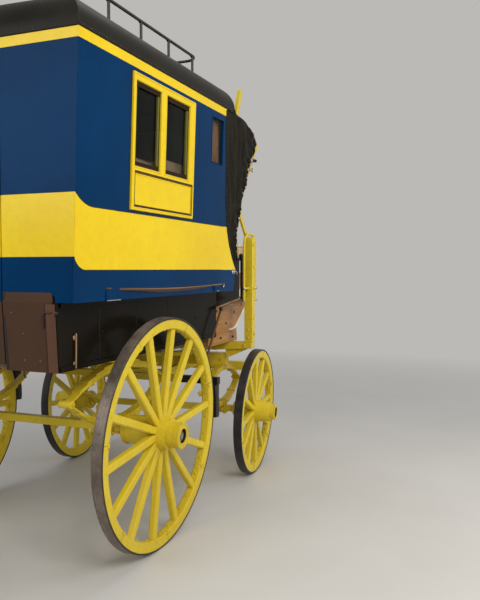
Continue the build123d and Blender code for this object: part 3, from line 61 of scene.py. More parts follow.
WELL_REAR_LEAN = 21
WELL_BOTTOM = 1070
FRONT_WALL_Y = 885
BOARD = 25
POST_X = 745
POST_FACE = 776.5
CHEEK_FACE = 600
RAIL_X = 600
ROOF_SHOULDER_X = 720
ROOF_SHOULDER_Z = 2750
ROOF_CROWN = 25

SIDES = ((1, "right"), (-1, "left"))
CORNERS = ((-1, -1), (1, -1), (1, 1), (-1, 1))
X_AXIS, Y_AXIS, Z_AXIS = Vector((1, 0, 0)), Vector((0, 1, 0)), Vector((0, 0, 1))
ACROSS = (X_AXIS, Y_AXIS, Z_AXIS)
UPRIGHT = (Y_AXIS, Z_AXIS, X_AXIS)
FACING_REAR = (X_AXIS, Z_AXIS, Y_AXIS)
STEER_TURN = Matrix.Rotation(STEER_REST, 3, "Z")


def place(x, y, z):
    """Point of the row frame, in metres, from the part's millimetres."""
    return Vector((x, y + ORIGIN_Y, z)) / 1000


def mirrored(hand, points):
    """Points of one side, their X measured outward."""
    return [place(hand * x, y, z) for x, y, z in points]


def side_x(z):
    """Half-width of the cabin's outside at a height."""
    return SIDE_X + SIDE_SLOPE * (z - LEDGE_Z)


def rear_y(z):
    """Y of the rear panel's outside at a height."""
    return REAR_Y if z >= LEDGE_Z else REAR_Y + WELL_REAR_LEAN * (LEDGE_Z - z) / (LEDGE_Z - WELL_BOTTOM)


def roof_z(x):
    """Height of the roof's crowned top at a distance from the middle."""
    radius = (ROOF_SHOULDER_X**2 + ROOF_CROWN**2) / (2 * ROOF_CROWN)
    return ROOF_SHOULDER_Z + ROOF_CROWN - radius + (radius**2 - x**2) ** 0.5


# Procedural materials

finishes = {}


class Finish:
    """One node material under construction."""

    def __init__(self, name, colour):
        self.material = bpy.data.materials.new(name)
        self.material.use_nodes = True
        self.tree = self.material.node_tree
        self.shader = self.tree.nodes["Principled BSDF"]
        self.where = self.add("ShaderNodeTexCoord").outputs["Object"]
        self.base = (*colour, 1)
        self.normal = None
        finishes[name] = self.material

    def add(self, kind, sockets=None, **settings):
        """New node with its settings and its sockets, each a value or another node's output."""
        node = self.tree.nodes.new(kind)
        for key, value in settings.items():
            setattr(node, key, value)
        self.fill(node, sockets or {})
        return node

    def fill(self, node, sockets):
        """Link or set a node's sockets."""
        for key, value in sockets.items():
            if isinstance(value, bpy.types.NodeSocket):
                self.tree.links.new(value, node.inputs[key])
            else:
                node.inputs[key].default_value = value

    def axis(self, number, vector=None):
        """One part of a vector, or of the object coordinate in metres."""
        return self.add("ShaderNodeSeparateXYZ", {0: vector or self.where}).outputs[number]

    def stretched(self, x, y, z):
        """Object coordinates scaled along each axis."""
        return self.add("ShaderNodeMapping", {"Vector": self.where, "Scale": (x, y, z)}).outputs[0]

    def noise(self, scale, detail=4, rough=0.55, distortion=0, vector=None):
        """Value of a cloud texture."""
        sockets = {"Vector": vector or self.where, "Scale": scale, "Detail": detail, "Roughness": rough,
                   "Distortion": distortion}
        return self.add("ShaderNodeTexNoise", sockets).outputs[0]

    def cells(self, scale, feature="F1", vector=None):
        """Distance value of a cell texture."""
        sockets = {"Vector": vector or self.where, "Scale": scale}
        return self.add("ShaderNodeTexVoronoi", sockets, feature=feature).outputs["Distance"]

    def remap(self, value, low, high, to_low=0.0, to_high=1.0):
        """Value moved from one range to another and held inside it."""
        sockets = {"Value": value, "From Min": low, "From Max": high, "To Min": to_low, "To Max": to_high}
        return self.add("ShaderNodeMapRange", sockets).outputs[0]

    def math(self, operation, first, second=0.0):
        """Sum, product or other figure of two values."""
        return self.add("ShaderNodeMath", {0: first, 1: second}, operation=operation).outputs[0]

    def times(self, first, second):
        """Product of two values."""
        return self.math("MULTIPLY", first, second)

    def lay(self, colour, share, *span):
        """Lay a colour over the base by a share, or where a value passes through a span."""
        if span:
            share = self.remap(share, *span)
        sockets = {0: share, 6: self.base, 7: (*colour, 1)}
        self.base = self.add("ShaderNodeMix", sockets, data_type="RGBA").outputs[2]

    def bump(self, height, strength, distance):
        """Raise the surface by a height, over what has raised it so far."""
        sockets = {"Height": height, "Strength": strength, "Distance": distance}
        if self.normal:
            sockets["Normal"] = self.normal
        self.normal = self.add("ShaderNodeBump", sockets).outputs[0]

    def soft_edge(self, radius):
        """Round the edges, and say how much an edge is near."""
        self.normal = self.add("ShaderNodeBevel", {"Radius": radius}, samples=4).outputs[0]
        flat = self.add("ShaderNodeNewGeometry").outputs["True Normal"]
        facing = self.add("ShaderNodeVectorMath", {0: self.normal, 1: flat}, operation="DOT_PRODUCT")
        return self.remap(facing.outputs["Value"], 0.995, 0.86)

    def set(self, **values):
        """Base colour, raised surface and other constant or linked values on the shader."""
        names = {
            "rough": "Roughness", "metal": "Metallic", "coat": "Coat Weight", "coat_rough": "Coat Roughness",
            "sheen": "Sheen Weight", "sheen_rough": "Sheen Roughness", "specular": "Specular IOR Level",
            "alpha": "Alpha",
        }
        sockets = {"Base Color": self.base, "Normal": self.normal}
        sockets.update((names[key], value) for key, value in values.items())
        self.fill(self.shader, sockets)


def scaled(colour, factor, lift=0):
    """Colour made lighter or darker."""
    return [v * factor + lift for v in colour]


def coach_paint(name, colour, shade, rough, worn=None, wear=0.5, soften=0.0025, shine=0.2, over=None):
    """Brushed and varnished coach paint: soft mottling, faint brush lines, rubbed edges, a second colour."""
    f = Finish(name, colour)
    edge = f.soft_edge(soften)
    mottle = f.noise(24, 5, 0.6)
    f.lay(shade, f.noise(1.6, 3), 0.35, 0.7)
    f.lay(scaled(shade, 0.55), mottle, 0.45, 0.8, 0, 0.22)
    if worn:
        patches = f.remap(f.noise(46, 4, 0.7), 0.5, 0.62)
        f.lay(worn, f.times(f.times(edge, patches), wear))
        f.lay(worn, f.noise(120, 2, 0.6), 0.74, 0.78, 0, wear * 0.4)
    if over:
        over(f)
    f.bump(f.noise(90, 3, 0.6, vector=f.stretched(1, 1, 0.06)), 0.06, 0.0006)
    f.bump(f.noise(300, 2), 0.03, 0.0004)
    f.set(rough=f.remap(mottle, 0.3, 0.8, rough * 0.75, rough * 1.35), specular=shine)


def hide(name, colour, light, rough, grain, crease, coat=0.12, shine=0.2):
    """Leather: fine grain, long creases, and a paler rubbed look on the creases."""
    f = Finish(name, colour)
    folds = f.noise(9, 4, 0.6, 0.6, f.stretched(1, 1, 0.45))
    cracks = f.remap(f.cells(26, "DISTANCE_TO_EDGE", f.stretched(1, 1, 0.5)), 0.0, 0.06, 1, 0)
    f.lay(light, folds, 0.42, 0.72)
    f.lay(scaled(light, 1.9), f.times(cracks, 0.35))
    f.lay(scaled(light, 1.5, 0.004), f.noise(3.2, 5, 0.65), 0.5, 0.8, 0, 0.3)
    f.bump(folds, crease * 0.5, 0.006)
    f.bump(cracks, crease * 0.35, 0.0012)
    f.bump(f.cells(grain), 0.18, 0.0006)
    gloss = f.remap(folds, 0.3, 0.75, rough * 0.75, rough * 1.3)
    f.set(rough=gloss, coat=coat, coat_rough=0.3, specular=shine)


def boards(name, light, dark, scale, rough, coat):
    """Wood with grain along Y, knots and a thin varnish."""
    f = Finish(name, light)
    edge = f.soft_edge(0.002)
    grain = f.noise(scale, 6, 0.62, 0.8, f.stretched(1, 0.09, 1))
    fine = f.noise(scale * 7, 3, 0.6, 0, f.stretched(1, 0.04, 1))
    f.lay(dark, grain, 0.35, 0.68)
    f.lay(scaled(dark, 0.45), fine, 0.5, 0.85, 0, 0.5)
    f.lay(scaled(dark, 0.7), f.noise(2.2, 2, 0.5, 1.2), 0.45, 0.75, 0, 0.35)
    f.lay(scaled(light, 1.25), f.times(edge, 0.4))
    f.bump(grain, 0.12, 0.0012)
    f.bump(fine, 0.12, 0.0006)
    f.set(rough=f.remap(grain, 0.3, 0.7, rough * 0.8, rough * 1.3), coat=coat, coat_rough=0.15)


def iron(name, colour, light, rust, rough, metal, rubbed=0.5):
    """Forged iron: hammered relief, brown bloom and bright rubbed edges."""
    f = Finish(name, colour)
    edge = f.soft_edge(0.002)
    bloom = f.noise(11, 6, 0.65)
    f.lay(light, bloom, 0.42, 0.66)
    f.lay(rust, f.noise(34, 5, 0.7), 0.55, 0.72, 0, 0.6)
    bright = f.times(edge, f.remap(f.noise(60, 3), 0.4, 0.6, 0, rubbed))
    f.lay([min(1, v * 2.4) for v in light], bright)
    f.bump(f.noise(120, 4, 0.6), 0.22, 0.0008)
    f.bump(f.noise(22, 2), 0.2, 0.0015)
    f.set(rough=f.remap(bloom, 0.3, 0.75, rough * 0.75, min(1, rough * 1.4)), metal=metal)


def cloth(name, light, dark, thread, rough, sheen):
    """Woven cloth with crossing threads, slub and faded patches."""
    f = Finish(name, light)
    warp = f.noise(thread, 2, 0.4, 0, f.stretched(1, 1, 0.03))
    weft = f.noise(thread, 2, 0.4, 0, f.stretched(0.05, 0.05, 1))
    weave = f.math("MAXIMUM", warp, weft)
    f.lay(dark, f.noise(2.5, 4, 0.6), 0.35, 0.7)
    f.lay(scaled(dark, 0.6), weave, 0.45, 0.75, 0, 0.4)
    f.bump(weave, 0.3, 0.0008)
    f.set(rough=rough, sheen=sheen, sheen_rough=0.4)


def canvas_roof(name):
    """Black painted canvas: faint weave, brush marks and dust where it lies flat."""
    f = Finish(name, (0.007, 0.007, 0.006))
    edge = f.soft_edge(0.006)
    warp = f.noise(420, 1, 0.4, 0, f.stretched(1, 0.04, 1))
    weft = f.noise(420, 1, 0.4, 0, f.stretched(0.04, 1, 0.04))
    cloud = f.noise(2.4, 5, 0.6)
    upward = f.axis(2, f.add("ShaderNodeNewGeometry").outputs["Normal"])
    dust = f.times(f.remap(upward, 0.75, 1.0), f.remap(f.noise(7, 6, 0.7), 0.45, 0.75, 0, 0.5))
    f.lay((0.020, 0.017, 0.011), cloud, 0.35, 0.72)
    f.lay((0.085, 0.075, 0.055), dust)
    f.lay((0.07, 0.058, 0.035), f.times(edge, 0.5))
    f.bump(f.math("MAXIMUM", warp, weft), 0.14, 0.0008)
    f.bump(f.noise(14, 3), 0.18, 0.003)
    f.set(rough=f.remap(cloud, 0.3, 0.75, 0.3, 0.5), specular=0.1)


def pane(name):
    """Thin window glass, near black and partly opaque as painted shade of the dark cabin behind it, with
    faint waves and uneven opacity.
    """
    f = Finish(name, (0.010, 0.012, 0.010))
    waves = f.noise(6, 2, 0.5)
    f.lay((0.020, 0.021, 0.016), waves, 0.4, 0.7)
    f.bump(waves, 0.03, 0.003)
    f.set(rough=0.05, alpha=f.remap(f.noise(9, 6, 0.7), 0.45, 0.8, 0.30, 0.42), specular=0.12)


def worn_tyre(name):
    """Bare iron tyre: brown grey tread with rolled scratches, paler rubbed patches and black sides."""
    f = Finish(name, (0.115, 0.088, 0.066))
    edge = f.soft_edge(0.003)
    bloom = f.noise(7, 6, 0.65)
    scratch = f.noise(160, 4, 0.7, 0, f.stretched(1, 0.12, 0.12))
    facing = f.axis(0, f.add("ShaderNodeTexCoord").outputs["Normal"])
    f.lay((0.25, 0.205, 0.165), bloom, 0.38, 0.66)
    f.lay((0.085, 0.048, 0.028), f.noise(40, 5, 0.7), 0.52, 0.74, 0, 0.65)
    f.lay((0.42, 0.37, 0.31), scratch, 0.56, 0.72, 0, 0.5)
    f.lay((0.04, 0.034, 0.03), f.times(edge, 0.55))
    f.lay((0.012, 0.010, 0.009), f.math("ABSOLUTE", facing), 0.6, 0.8, 0, 0.94)
    f.bump(scratch, 0.14, 0.0006)
    f.bump(f.noise(70, 4), 0.25, 0.001)
    f.set(rough=f.remap(bloom, 0.3, 0.75, 0.34, 0.62), metal=0.45)


def painted_rail_shade(f):
    """Dark brown painted shade on the sashes' top and bottom rails, where they lie in shadow."""
    height = f.axis(2)
    rails = f.math("MAXIMUM", f.remap(height, 2.452, 2.458), f.remap(height, 2.094, 2.088))
    f.lay((0.018, 0.009, 0.004), rails)


def black_ends(f):
    """Black iron look towards both ends of the brake beam."""
    f.lay((0.014, 0.013, 0.012), f.math("ABSOLUTE", f.axis(0)), 0.555, 0.56)


def brown_low(f):
    """Brown on the brake's rod, below its lever."""
    f.lay((0.10, 0.055, 0.028), f.axis(2), 1.27, 1.24)


def painted_rail_highlight(f):
    """Tan painted highlight along the rub rail's top, more so towards the front, and blue black under it."""
    ahead = f.axis(1)
    sag = f.math("ABSOLUTE", f.math("SUBTRACT", ahead, -0.36))
    height = f.math("SUBTRACT", f.axis(2), f.times(sag, 0.016))
    highlight_towards_front = f.remap(ahead, -0.9, 0.3, 0.25, 1.0)
    f.lay((0.012, 0.016, 0.035), height, 1.416, 1.408, 0, 0.8)
    f.lay((0.34, 0.20, 0.10), f.times(f.remap(height, 1.426, 1.433), highlight_towards_front))


# The part's own finishes, each of them also a slot

coach_paint("body_blue", (0.001, 0.036, 0.118), (0.001, 0.026, 0.086), 0.2, (0.02, 0.10, 0.20), 0.35,
            shine=0.035)
coach_paint("body_yellow", (0.86, 0.63, 0.010), (0.79, 0.55, 0.008), 0.24, (0.45, 0.30, 0.04), 0.3)
coach_paint("gear_yellow", (0.70, 0.54, 0.030), (0.60, 0.44, 0.022), 0.32, (0.30, 0.20, 0.06), 0.7, 0.004)
# Sash paint, with painted shade on its top and bottom rails
coach_paint("sash_green", (0.15, 0.15, 0.030), (0.10, 0.105, 0.024), 0.35, (0.25, 0.2, 0.08), 0.5, shine=0.1,
            over=painted_rail_shade)
coach_paint("well_black", (0.006, 0.005, 0.004), (0.011, 0.008, 0.005), 0.22, (0.06, 0.045, 0.03), 0.4,
            shine=0.06)
# Dark brown of the well's rear panel: partly its own paint, partly painted light, lighter than the black
# sides as the lit face
coach_paint("well_brown", (0.078, 0.036, 0.018), (0.050, 0.024, 0.013), 0.36, (0.18, 0.11, 0.06), 0.7)
canvas_roof("roof_black")
iron("iron_black", (0.018, 0.017, 0.017), (0.040, 0.036, 0.033), (0.07, 0.035, 0.02), 0.42, 0.35)
worn_tyre("tyre_iron")
hide("leather_black", (0.006, 0.005, 0.003), (0.017, 0.014, 0.007), 0.46, 360, 1.0, 0, 0.05)
hide("seat_leather", (0.085, 0.036, 0.020), (0.15, 0.07, 0.038), 0.5, 420, 0.5)
boards("varnished_wood", (0.34, 0.165, 0.045), (0.22, 0.095, 0.024), 26, 0.4, 0.2)
boards("floor_wood", (0.19, 0.115, 0.065), (0.11, 0.062, 0.034), 22, 0.55, 0.1)
pane("glass")
SLOTS = tuple(finishes)

# Finishes that only this script uses

cloth("curtain_cloth", (0.80, 0.62, 0.38), (0.64, 0.46, 0.26), 600, 0.85, 0.3)
cloth("brown_cloth", (0.62, 0.33, 0.15), (0.40, 0.20, 0.09), 600, 0.85, 0.3)
cloth("hem_lining", (0.42, 0.37, 0.25), (0.30, 0.26, 0.17), 700, 0.8, 0.1)
cloth("dark_cloth", (0.060, 0.032, 0.018), (0.034, 0.018, 0.010), 600, 0.9, 0.1)
hide("tan_hide", (0.62, 0.44, 0.22), (0.74, 0.56, 0.32), 0.5, 420, 0.4)
iron("old_nickel", (0.34, 0.33, 0.31), (0.55, 0.53, 0.49), (0.16, 0.12, 0.08), 0.28, 0.9, 0.3)
iron("old_brass", (0.34, 0.24, 0.08), (0.50, 0.37, 0.13), (0.14, 0.09, 0.04), 0.32, 0.9, 0.3)
iron("tan_iron", (0.20, 0.125, 0.065), (0.33, 0.21, 0.11), (0.10, 0.05, 0.02), 0.4, 0.2)
iron("nut_iron", (0.15, 0.14, 0.12), (0.30, 0.28, 0.24), (0.09, 0.06, 0.04), 0.4, 0.4)
iron("front_tyre", (0.016, 0.014, 0.015), (0.040, 0.034, 0.034), (0.05, 0.030, 0.02), 0.45, 0.3)
iron("dark_gap", (0.006, 0.005, 0.005), (0.010, 0.009, 0.008), (0.012, 0.009, 0.007), 0.7, 0.0, 0.0)
boards("grip_wood", (0.20, 0.10, 0.045), (0.09, 0.040, 0.018), 30, 0.4, 0.3)
boards("cheek_wood", (0.42, 0.205, 0.050), (0.28, 0.115, 0.025), 26, 0.4, 0.1)
# Painted shadow: dark brown for thin strips that stand for shadow lines round frames, panels and the belt
coach_paint("painted_shadow_brown", (0.034, 0.015, 0.006), (0.020, 0.009, 0.005), 0.5)
coach_paint("gap_red", (0.075, 0.013, 0.009), (0.045, 0.008, 0.006), 0.5)
coach_paint("panel_brown", (0.125, 0.062, 0.033), (0.088, 0.042, 0.024), 0.36, (0.25, 0.16, 0.09), 0.7)
# Pale paint of the strip on the cheeks' front edges, a painted highlight along those edges
coach_paint("pale_edge_highlight", (0.90, 0.82, 0.62), (0.80, 0.70, 0.50), 0.35, (0.3, 0.2, 0.1), 0.4)
# Rub rail paint, with a tan painted highlight along its top
coach_paint("rail_brown", (0.056, 0.023, 0.016), (0.036, 0.015, 0.011), 0.28, over=painted_rail_highlight)
coach_paint("beam_yellow", (0.66, 0.50, 0.030), (0.56, 0.41, 0.022), 0.34, (0.30, 0.20, 0.06), 0.7, 0.004,
            over=black_ends)
coach_paint("lever_black", (0.014, 0.012, 0.011), (0.026, 0.021, 0.018), 0.34, (0.10, 0.06, 0.035), 0.5,
            0.002, 0.12, brown_low)

OWN_FINISHES = {"brake_beam": "beam_yellow", "brake_lever": "lever_black", "cheeks": "cheek_wood",
                "tyre_front_right": "front_tyre", "tyre_front_left": "front_tyre"}
for name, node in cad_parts.items():
    for material_slot in node.material_slots:
        own = OWN_FINISHES.get(name, material_slot.material.name.split(".")[0])
        material_slot.material = finishes[own]


# Mesh building: pieces are gathered in Solids, and those still unmade are made before the studio

unmade = []


class Solid:
    """Points and faces gathered for one piece, in the row frame's metres."""

    def __init__(self, name, finish, body="coach", smooth=32, slot=None):
        self.name = name
        self.finish = finish
        self.body = body
        self.smooth = smooth
        self.slot = slot or (finish if finish in SLOTS else None)
        self.points = []
        self.faces = []
        unmade.append(self)

    def add(self, points, faces):
        """Take in points and the faces between them."""
        base = len(self.points)
        self.points.extend(points)
        self.faces.extend([base + k for k in face] for face in faces)

    def rings(self, rings, ends=True, closed=False):
        """Skin over rings of equally many points, each ring a closed loop."""
        count = len(rings[0])
        faces = []
        last = len(rings) if closed else len(rings) - 1
        for a in range(last):
            b = (a + 1) % len(rings)
            for k in range(count):
                n = (k + 1) % count
                faces.append((a * count + k, a * count + n, b * count + n, b * count + k))
        if ends and not closed:
            faces.append(tuple(reversed(range(count))))
            faces.append(tuple((len(rings) - 1) * count + k for k in range(count)))
        self.add([q for r in rings for q in r], faces)

    def grid(self, rows):
        """Open sheet over rows of equally many points."""
        wide = len(rows[0])
        faces = []
        for a in range(len(rows) - 1):
            for k in range(wide - 1):
                faces.append((a * wide + k, a * wide + k + 1, (a + 1) * wide + k + 1, (a + 1) * wide + k))
        self.add([q for r in rows for q in r], faces)

    def lathe(self, profile, origin, axis, sides=24, closed=False):
        """Turned form: profile pairs of radius and distance along the axis, in millimetres."""
        axis = Vector(axis).normalized()
        side = axis.orthogonal().normalized()
        over = axis.cross(side)
        rings = []
        for radius, along in profile:
            middle = origin + axis * (along / 1000)
            rings.append(circle(middle, radius, sides, side, over))
        self.rings(rings, closed=closed)

    def bolt(self, origin, axis, radius=9, high=6, square=False):
        """Washer and a domed or square head standing on a face."""
        self.lathe(((radius * 1.45, 0), (radius * 1.45, 1.6), (radius * 1.1, 2.2)), origin, axis, 16)
        if square:
            self.lathe(((radius, 2), (radius, high), (radius * 0.82, high + 1.4)), origin, axis, 4)
            stub = radius * 0.52
            self.lathe(((stub, high), (stub, high + 5), (radius * 0.4, high + 6)), origin, axis, 10)
        else:
            dome = [(radius * cos(a), 2 + high * sin(a)) for a in (0, 0.35, 0.75, 1.15)]
            self.lathe((*dome, (radius * 0.12, 2 + high)), origin, axis, 14)

    def tube(self, points, radius, sides=10, closed=False, up=Z_AXIS):
        """Round bar along points, its radius one value or one per point, in millimetres."""
        rings = []
        count = len(points)
        for k, middle in enumerate(points):
            before = points[k - 1] if k or closed else points[k]
            after = points[(k + 1) % count] if k < count - 1 or closed else points[k]
            along = (after - before).normalized()
            across = along.cross(up)
            if across.length < 1e-3:
                across = along.orthogonal()
            across.normalize()
            over = across.cross(along)
            wide = (radius[k] if isinstance(radius, (list, tuple)) else radius) / 1000
            turns = [2 * pi * n / sides for n in range(sides)]
            rings.append([middle + across * wide * cos(a) + over * wide * sin(a) for a in turns])
        self.rings(rings, closed=closed)

    def bar(self, origin, axes, size, edge=1.5):
        """Board of a size in millimetres, its edges eased, about a middle point and three directions."""
        a, b, c = axes
        hx, hy, hz = (v / 2000 for v in size)
        e = edge / 1000
        rings = []
        for z, inset in ((-hz, e), (-hz + e, 0), (hz - e, 0), (hz, e)):
            x, y = hx - inset, hy - inset
            cx, cy = x - e, y - e
            corners = ((x, -cy), (x, cy), (cx, y), (-cx, y), (-x, cy), (-x, -cy), (-cx, -y), (cx, -y))
            rings.append([origin + a * u + b * v + c * z for u, v in corners])
        self.rings(rings)

    def object(self, replaces=(), weld=0.0, sheet=False):
        """Blender object of all that was gathered, faces outward unless it is an open sheet."""
        unmade.remove(self)
        mesh = bpy.data.meshes.new(self.name)
        mesh.from_pydata(self.points, [], self.faces)
        mesh.validate()
        if not sheet:
            shell = bmesh.new()
            shell.from_mesh(mesh)
            if weld:
                bmesh.ops.remove_doubles(shell, verts=shell.verts, dist=weld)
            bmesh.ops.recalc_face_normals(shell, faces=shell.faces)
            shell.to_mesh(mesh)
            shell.free()
        mesh.materials.append(finishes[self.finish])
        mesh.shade_smooth()
        mesh.set_sharp_from_angle(angle=radians(self.smooth))
        made = bpy.data.objects.new(self.name, mesh)
        bpy.context.scene.collection.objects.link(made)
        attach(made, self.body)
        if replaces:
            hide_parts(*replaces)
        return made


def modifier(piece, kind, **settings):
    """Add a modifier with its settings."""
    made = piece.modifiers.new(kind.lower(), kind)
    for key, value in settings.items():
        setattr(made, key, value)
    return made


def along_line(line, share):
    """Point at a share of the length of a line through points of two values."""
    lengths = [hypot(b[0] - a[0], b[1] - a[1]) for a, b in zip(line, line[1:])]
    left = share * sum(lengths)
    for (a, b), length in zip(zip(line, line[1:]), lengths):
        if left <= length or b is line[-1]:
            t = min(1, left / length)
            return a[0] + (b[0] - a[0]) * t, a[1] + (b[1] - a[1]) * t
        left -= length


def smooth_line(points, steps):
    """Smooth curve through points of two values, as many more points."""
    padded = [points[0], *points, points[-1]]
    line = []
    for k in range(1, len(padded) - 2):
        p0, p1, p2, p3 = padded[k - 1 : k + 3]
        for n in range(steps):
            t = n / steps
            spot = []
            for a, b, c, d in zip(p0, p1, p2, p3):
                bend = (2 * a - 5 * b + 4 * c - d) * t**2 + (3 * b - a - 3 * c + d) * t**3
                spot.append(0.5 * (2 * b + (c - a) * t + bend))
            line.append(tuple(spot))
    return [*line, tuple(points[-1])]


def circle(middle, radius, count, first, second):
    """Points of a circle in the plane of two directions."""
    turns = [2 * pi * k / count for k in range(count)]
    return [middle + (first * cos(a) + second * sin(a)) * (radius / 1000) for a in turns]


# Leather hood over the driver's seat
HOOD_TOP = ((872, 2588), (1000, 2588), (1024, 2632), (1110, 2606), (1290, 2593), (1408, 2547), (1470, 2500),
            (1540, 2476))
HOOD_SIDE_TOP = (*HOOD_TOP[:-2], (1452, 2508))
HOOD_EDGE = ((1148, 1603), (1136, 1628), (1118, 1742), (1137, 1846), (1222, 2063), (1272, 2170), (1312, 2262),
             (1362, 2328), (1408, 2400), (1452, 2508))
ARM_EDGE = ((1072, 1603), (1000, 1700), (950, 1800), (924, 1900), (912, 2000), (896, 2200), (878, 2380),
            (868, 2450), (872, 2588))
HOOD_CORNER = 34
HOOD_TUCK = 4
SCALLOPS = 15


def hood_side_point(s, v):
    """Y and Z of the hood's side at a share of its height and of its depth."""
    low = along_line((ARM_EDGE[0], HOOD_EDGE[0]), v)
    high = along_line(HOOD_SIDE_TOP, v)
    rear = along_line(ARM_EDGE, s)
    front = along_line(smooth_line(HOOD_EDGE, 6), s)
    corners = (ARM_EDGE[0], HOOD_EDGE[0], ARM_EDGE[-1], HOOD_EDGE[-1])
    found = []
    for axis in (0, 1):
        ruled = (1 - s) * low[axis] + s * high[axis] + (1 - v) * rear[axis] + v * front[axis]
        patch = (
            (1 - s) * ((1 - v) * corners[0][axis] + v * corners[1][axis])
            + s * ((1 - v) * corners[2][axis] + v * corners[3][axis])
        )
        found.append(ruled - patch)
    return found


def hood_corner(y):
    """Radius of the bend between the hood's side and top, small where the roof covers it."""
    share = min(1, max(0, (y - 1012) / 60))
    return HOOD_TUCK + (HOOD_CORNER - HOOD_TUCK) * share


def hood_sway(y, z, v, seed):
    """How far the leather stands off its flat shape, in millimetres."""
    drawn = noise.noise(Vector((y * 0.013, z * 0.0032 + y * 0.006, seed)))
    small = noise.noise(Vector((y * 0.035, z * 0.012, seed + 7.3)))
    ridged = 1 - abs(noise.noise(Vector((y * 0.017 - z * 0.006, z * 0.004 + y * 0.004, seed + 3.1)))) * 2.4
    return (9 * drawn + 3.0 * small + 7 * max(0, ridged) * min(1, v * 1.6)) * min(1, 4 * v)


def hood_skin(s, v):
    """Y, Z and distance off the side of the hood's leather, scalloped towards its front edge."""
    y, z = hood_side_point(s, v)
    near = max(0.0, (v - 0.62) / 0.38) ** 1.6
    wave = abs(sin(pi * s * SCALLOPS))
    drop = hood_corner(along_line(HOOD_TOP, v)[0]) * s**8
    out = 2.5 + hood_sway(y, z, v, 1.7) * 0.8 + near * (10 * wave - 5)
    return y - near * (20 * wave - 4), z - drop, out


def hood_side_place(hand, y, z, out):
    """Point of the leather on one side, the left one a little different from the right."""
    if hand < 0:
        out = out * 0.9 + 1.5 * noise.noise(Vector((y * 0.02, z * 0.01, 9.1)))
    return place(hand * (side_x(z) + out), y, z)


def make_hood():
    """Leather of the hood: both curtains and the top in one sheet, with its hem, tabs and nails."""
    tall, deep, over, corner = 96, 40, 40, 6
    side = [[hood_skin(m / tall, n / deep) for n in range(deep + 1)] for m in range(tall + 1)]
    rows = {hand: [[hood_side_place(hand, *q) for q in row] for row in side] for hand in (1, -1)}
    bends = []
    for k in range(1, corner + 1):
        angle = pi / 2 * k / corner
        row = []
        for n, (side_y, _, out) in enumerate(side[tall]):
            y, z = along_line(HOOD_TOP, n / deep)
            bend = hood_corner(y)
            x = side_x(z) + out - bend * (1 - cos(angle))
            row.append((x, side_y + (y - side_y) * k / corner, z - bend + bend * sin(angle)))
        bends.append(row)
    middle = []
    for k in range(1, over):
        row = []
        for n, (x, y, z) in enumerate(bends[-1]):
            across = x * (1 - 2 * k / over)
            v = n / deep
            arch = 1 - (across / x) ** 2
            sag = 7 * noise.noise(Vector((across * 0.006, y * 0.011, 4.2)))
            rise = (12 * arch + sag) * min(1, 3 * v)
            row.append(place(across, y + 40 * max(0.0, v - 0.8) * arch, z + rise - 2))
        middle.append(row)
    right, left = ([mirrored(hand, row) for row in bends] for hand in (1, -1))
    leather = Solid("hood_leather", "leather_black", smooth=60)
    leather.grid([*rows[1], *right, *middle, *reversed(left), *reversed(rows[-1])])
    hood = leather.object(replaces=("hood_top", "hood_curtains"), sheet=True)
    modifier(hood, "SOLIDIFY", thickness=0.004, offset=-1)
    modifier(hood, "SUBSURF", levels=1, render_levels=1)
    for hand, name in SIDES:
        hem = Solid(f"hood_hem_{name}", "leather_black")
        edge = [row[deep] for row in rows[hand]]
        inward = Vector((-hand * 0.004, 0.002, 0))
        hem.tube([q + inward for q in edge], 6.5, 8)
        tabs = Solid(f"hood_hem_tabs_{name}", "hem_lining")
        for k in range(1, SCALLOPS - 2):
            q = rows[hand][round(tall * (k + 0.5) / SCALLOPS)][deep]
            radius = 8 + 3 * noise.noise(Vector((k * 1.7, hand, 2.2)))
            tabs.lathe(((radius, -1), (radius, 1), (radius * 0.75, 2.4), (2, 3)),
                       q + Vector((hand * 0.002, -0.004, 0.006 * sin(k * 2.1))), (hand, -0.5, 0), 14)
        nails = Solid(f"hood_nails_{name}", "iron_black")
        for m in range(2, tall, 3):
            q = rows[hand][m][1]
            nails.lathe(((5, 0), (4.4, 2), (2.4, 3.6), (0.4, 4)), q + Vector((hand * 0.0005, 0, 0)),
                        (hand, 0, 0), 10)


make_hood()

# Cushions

PAD_INSET = 7
TUFT = ((10, -2), (9.5, 2), (6, 4.6), (1, 5.4))
SWELL_CAP = 0.014
SWELL_FRAMES = 20
pads = []


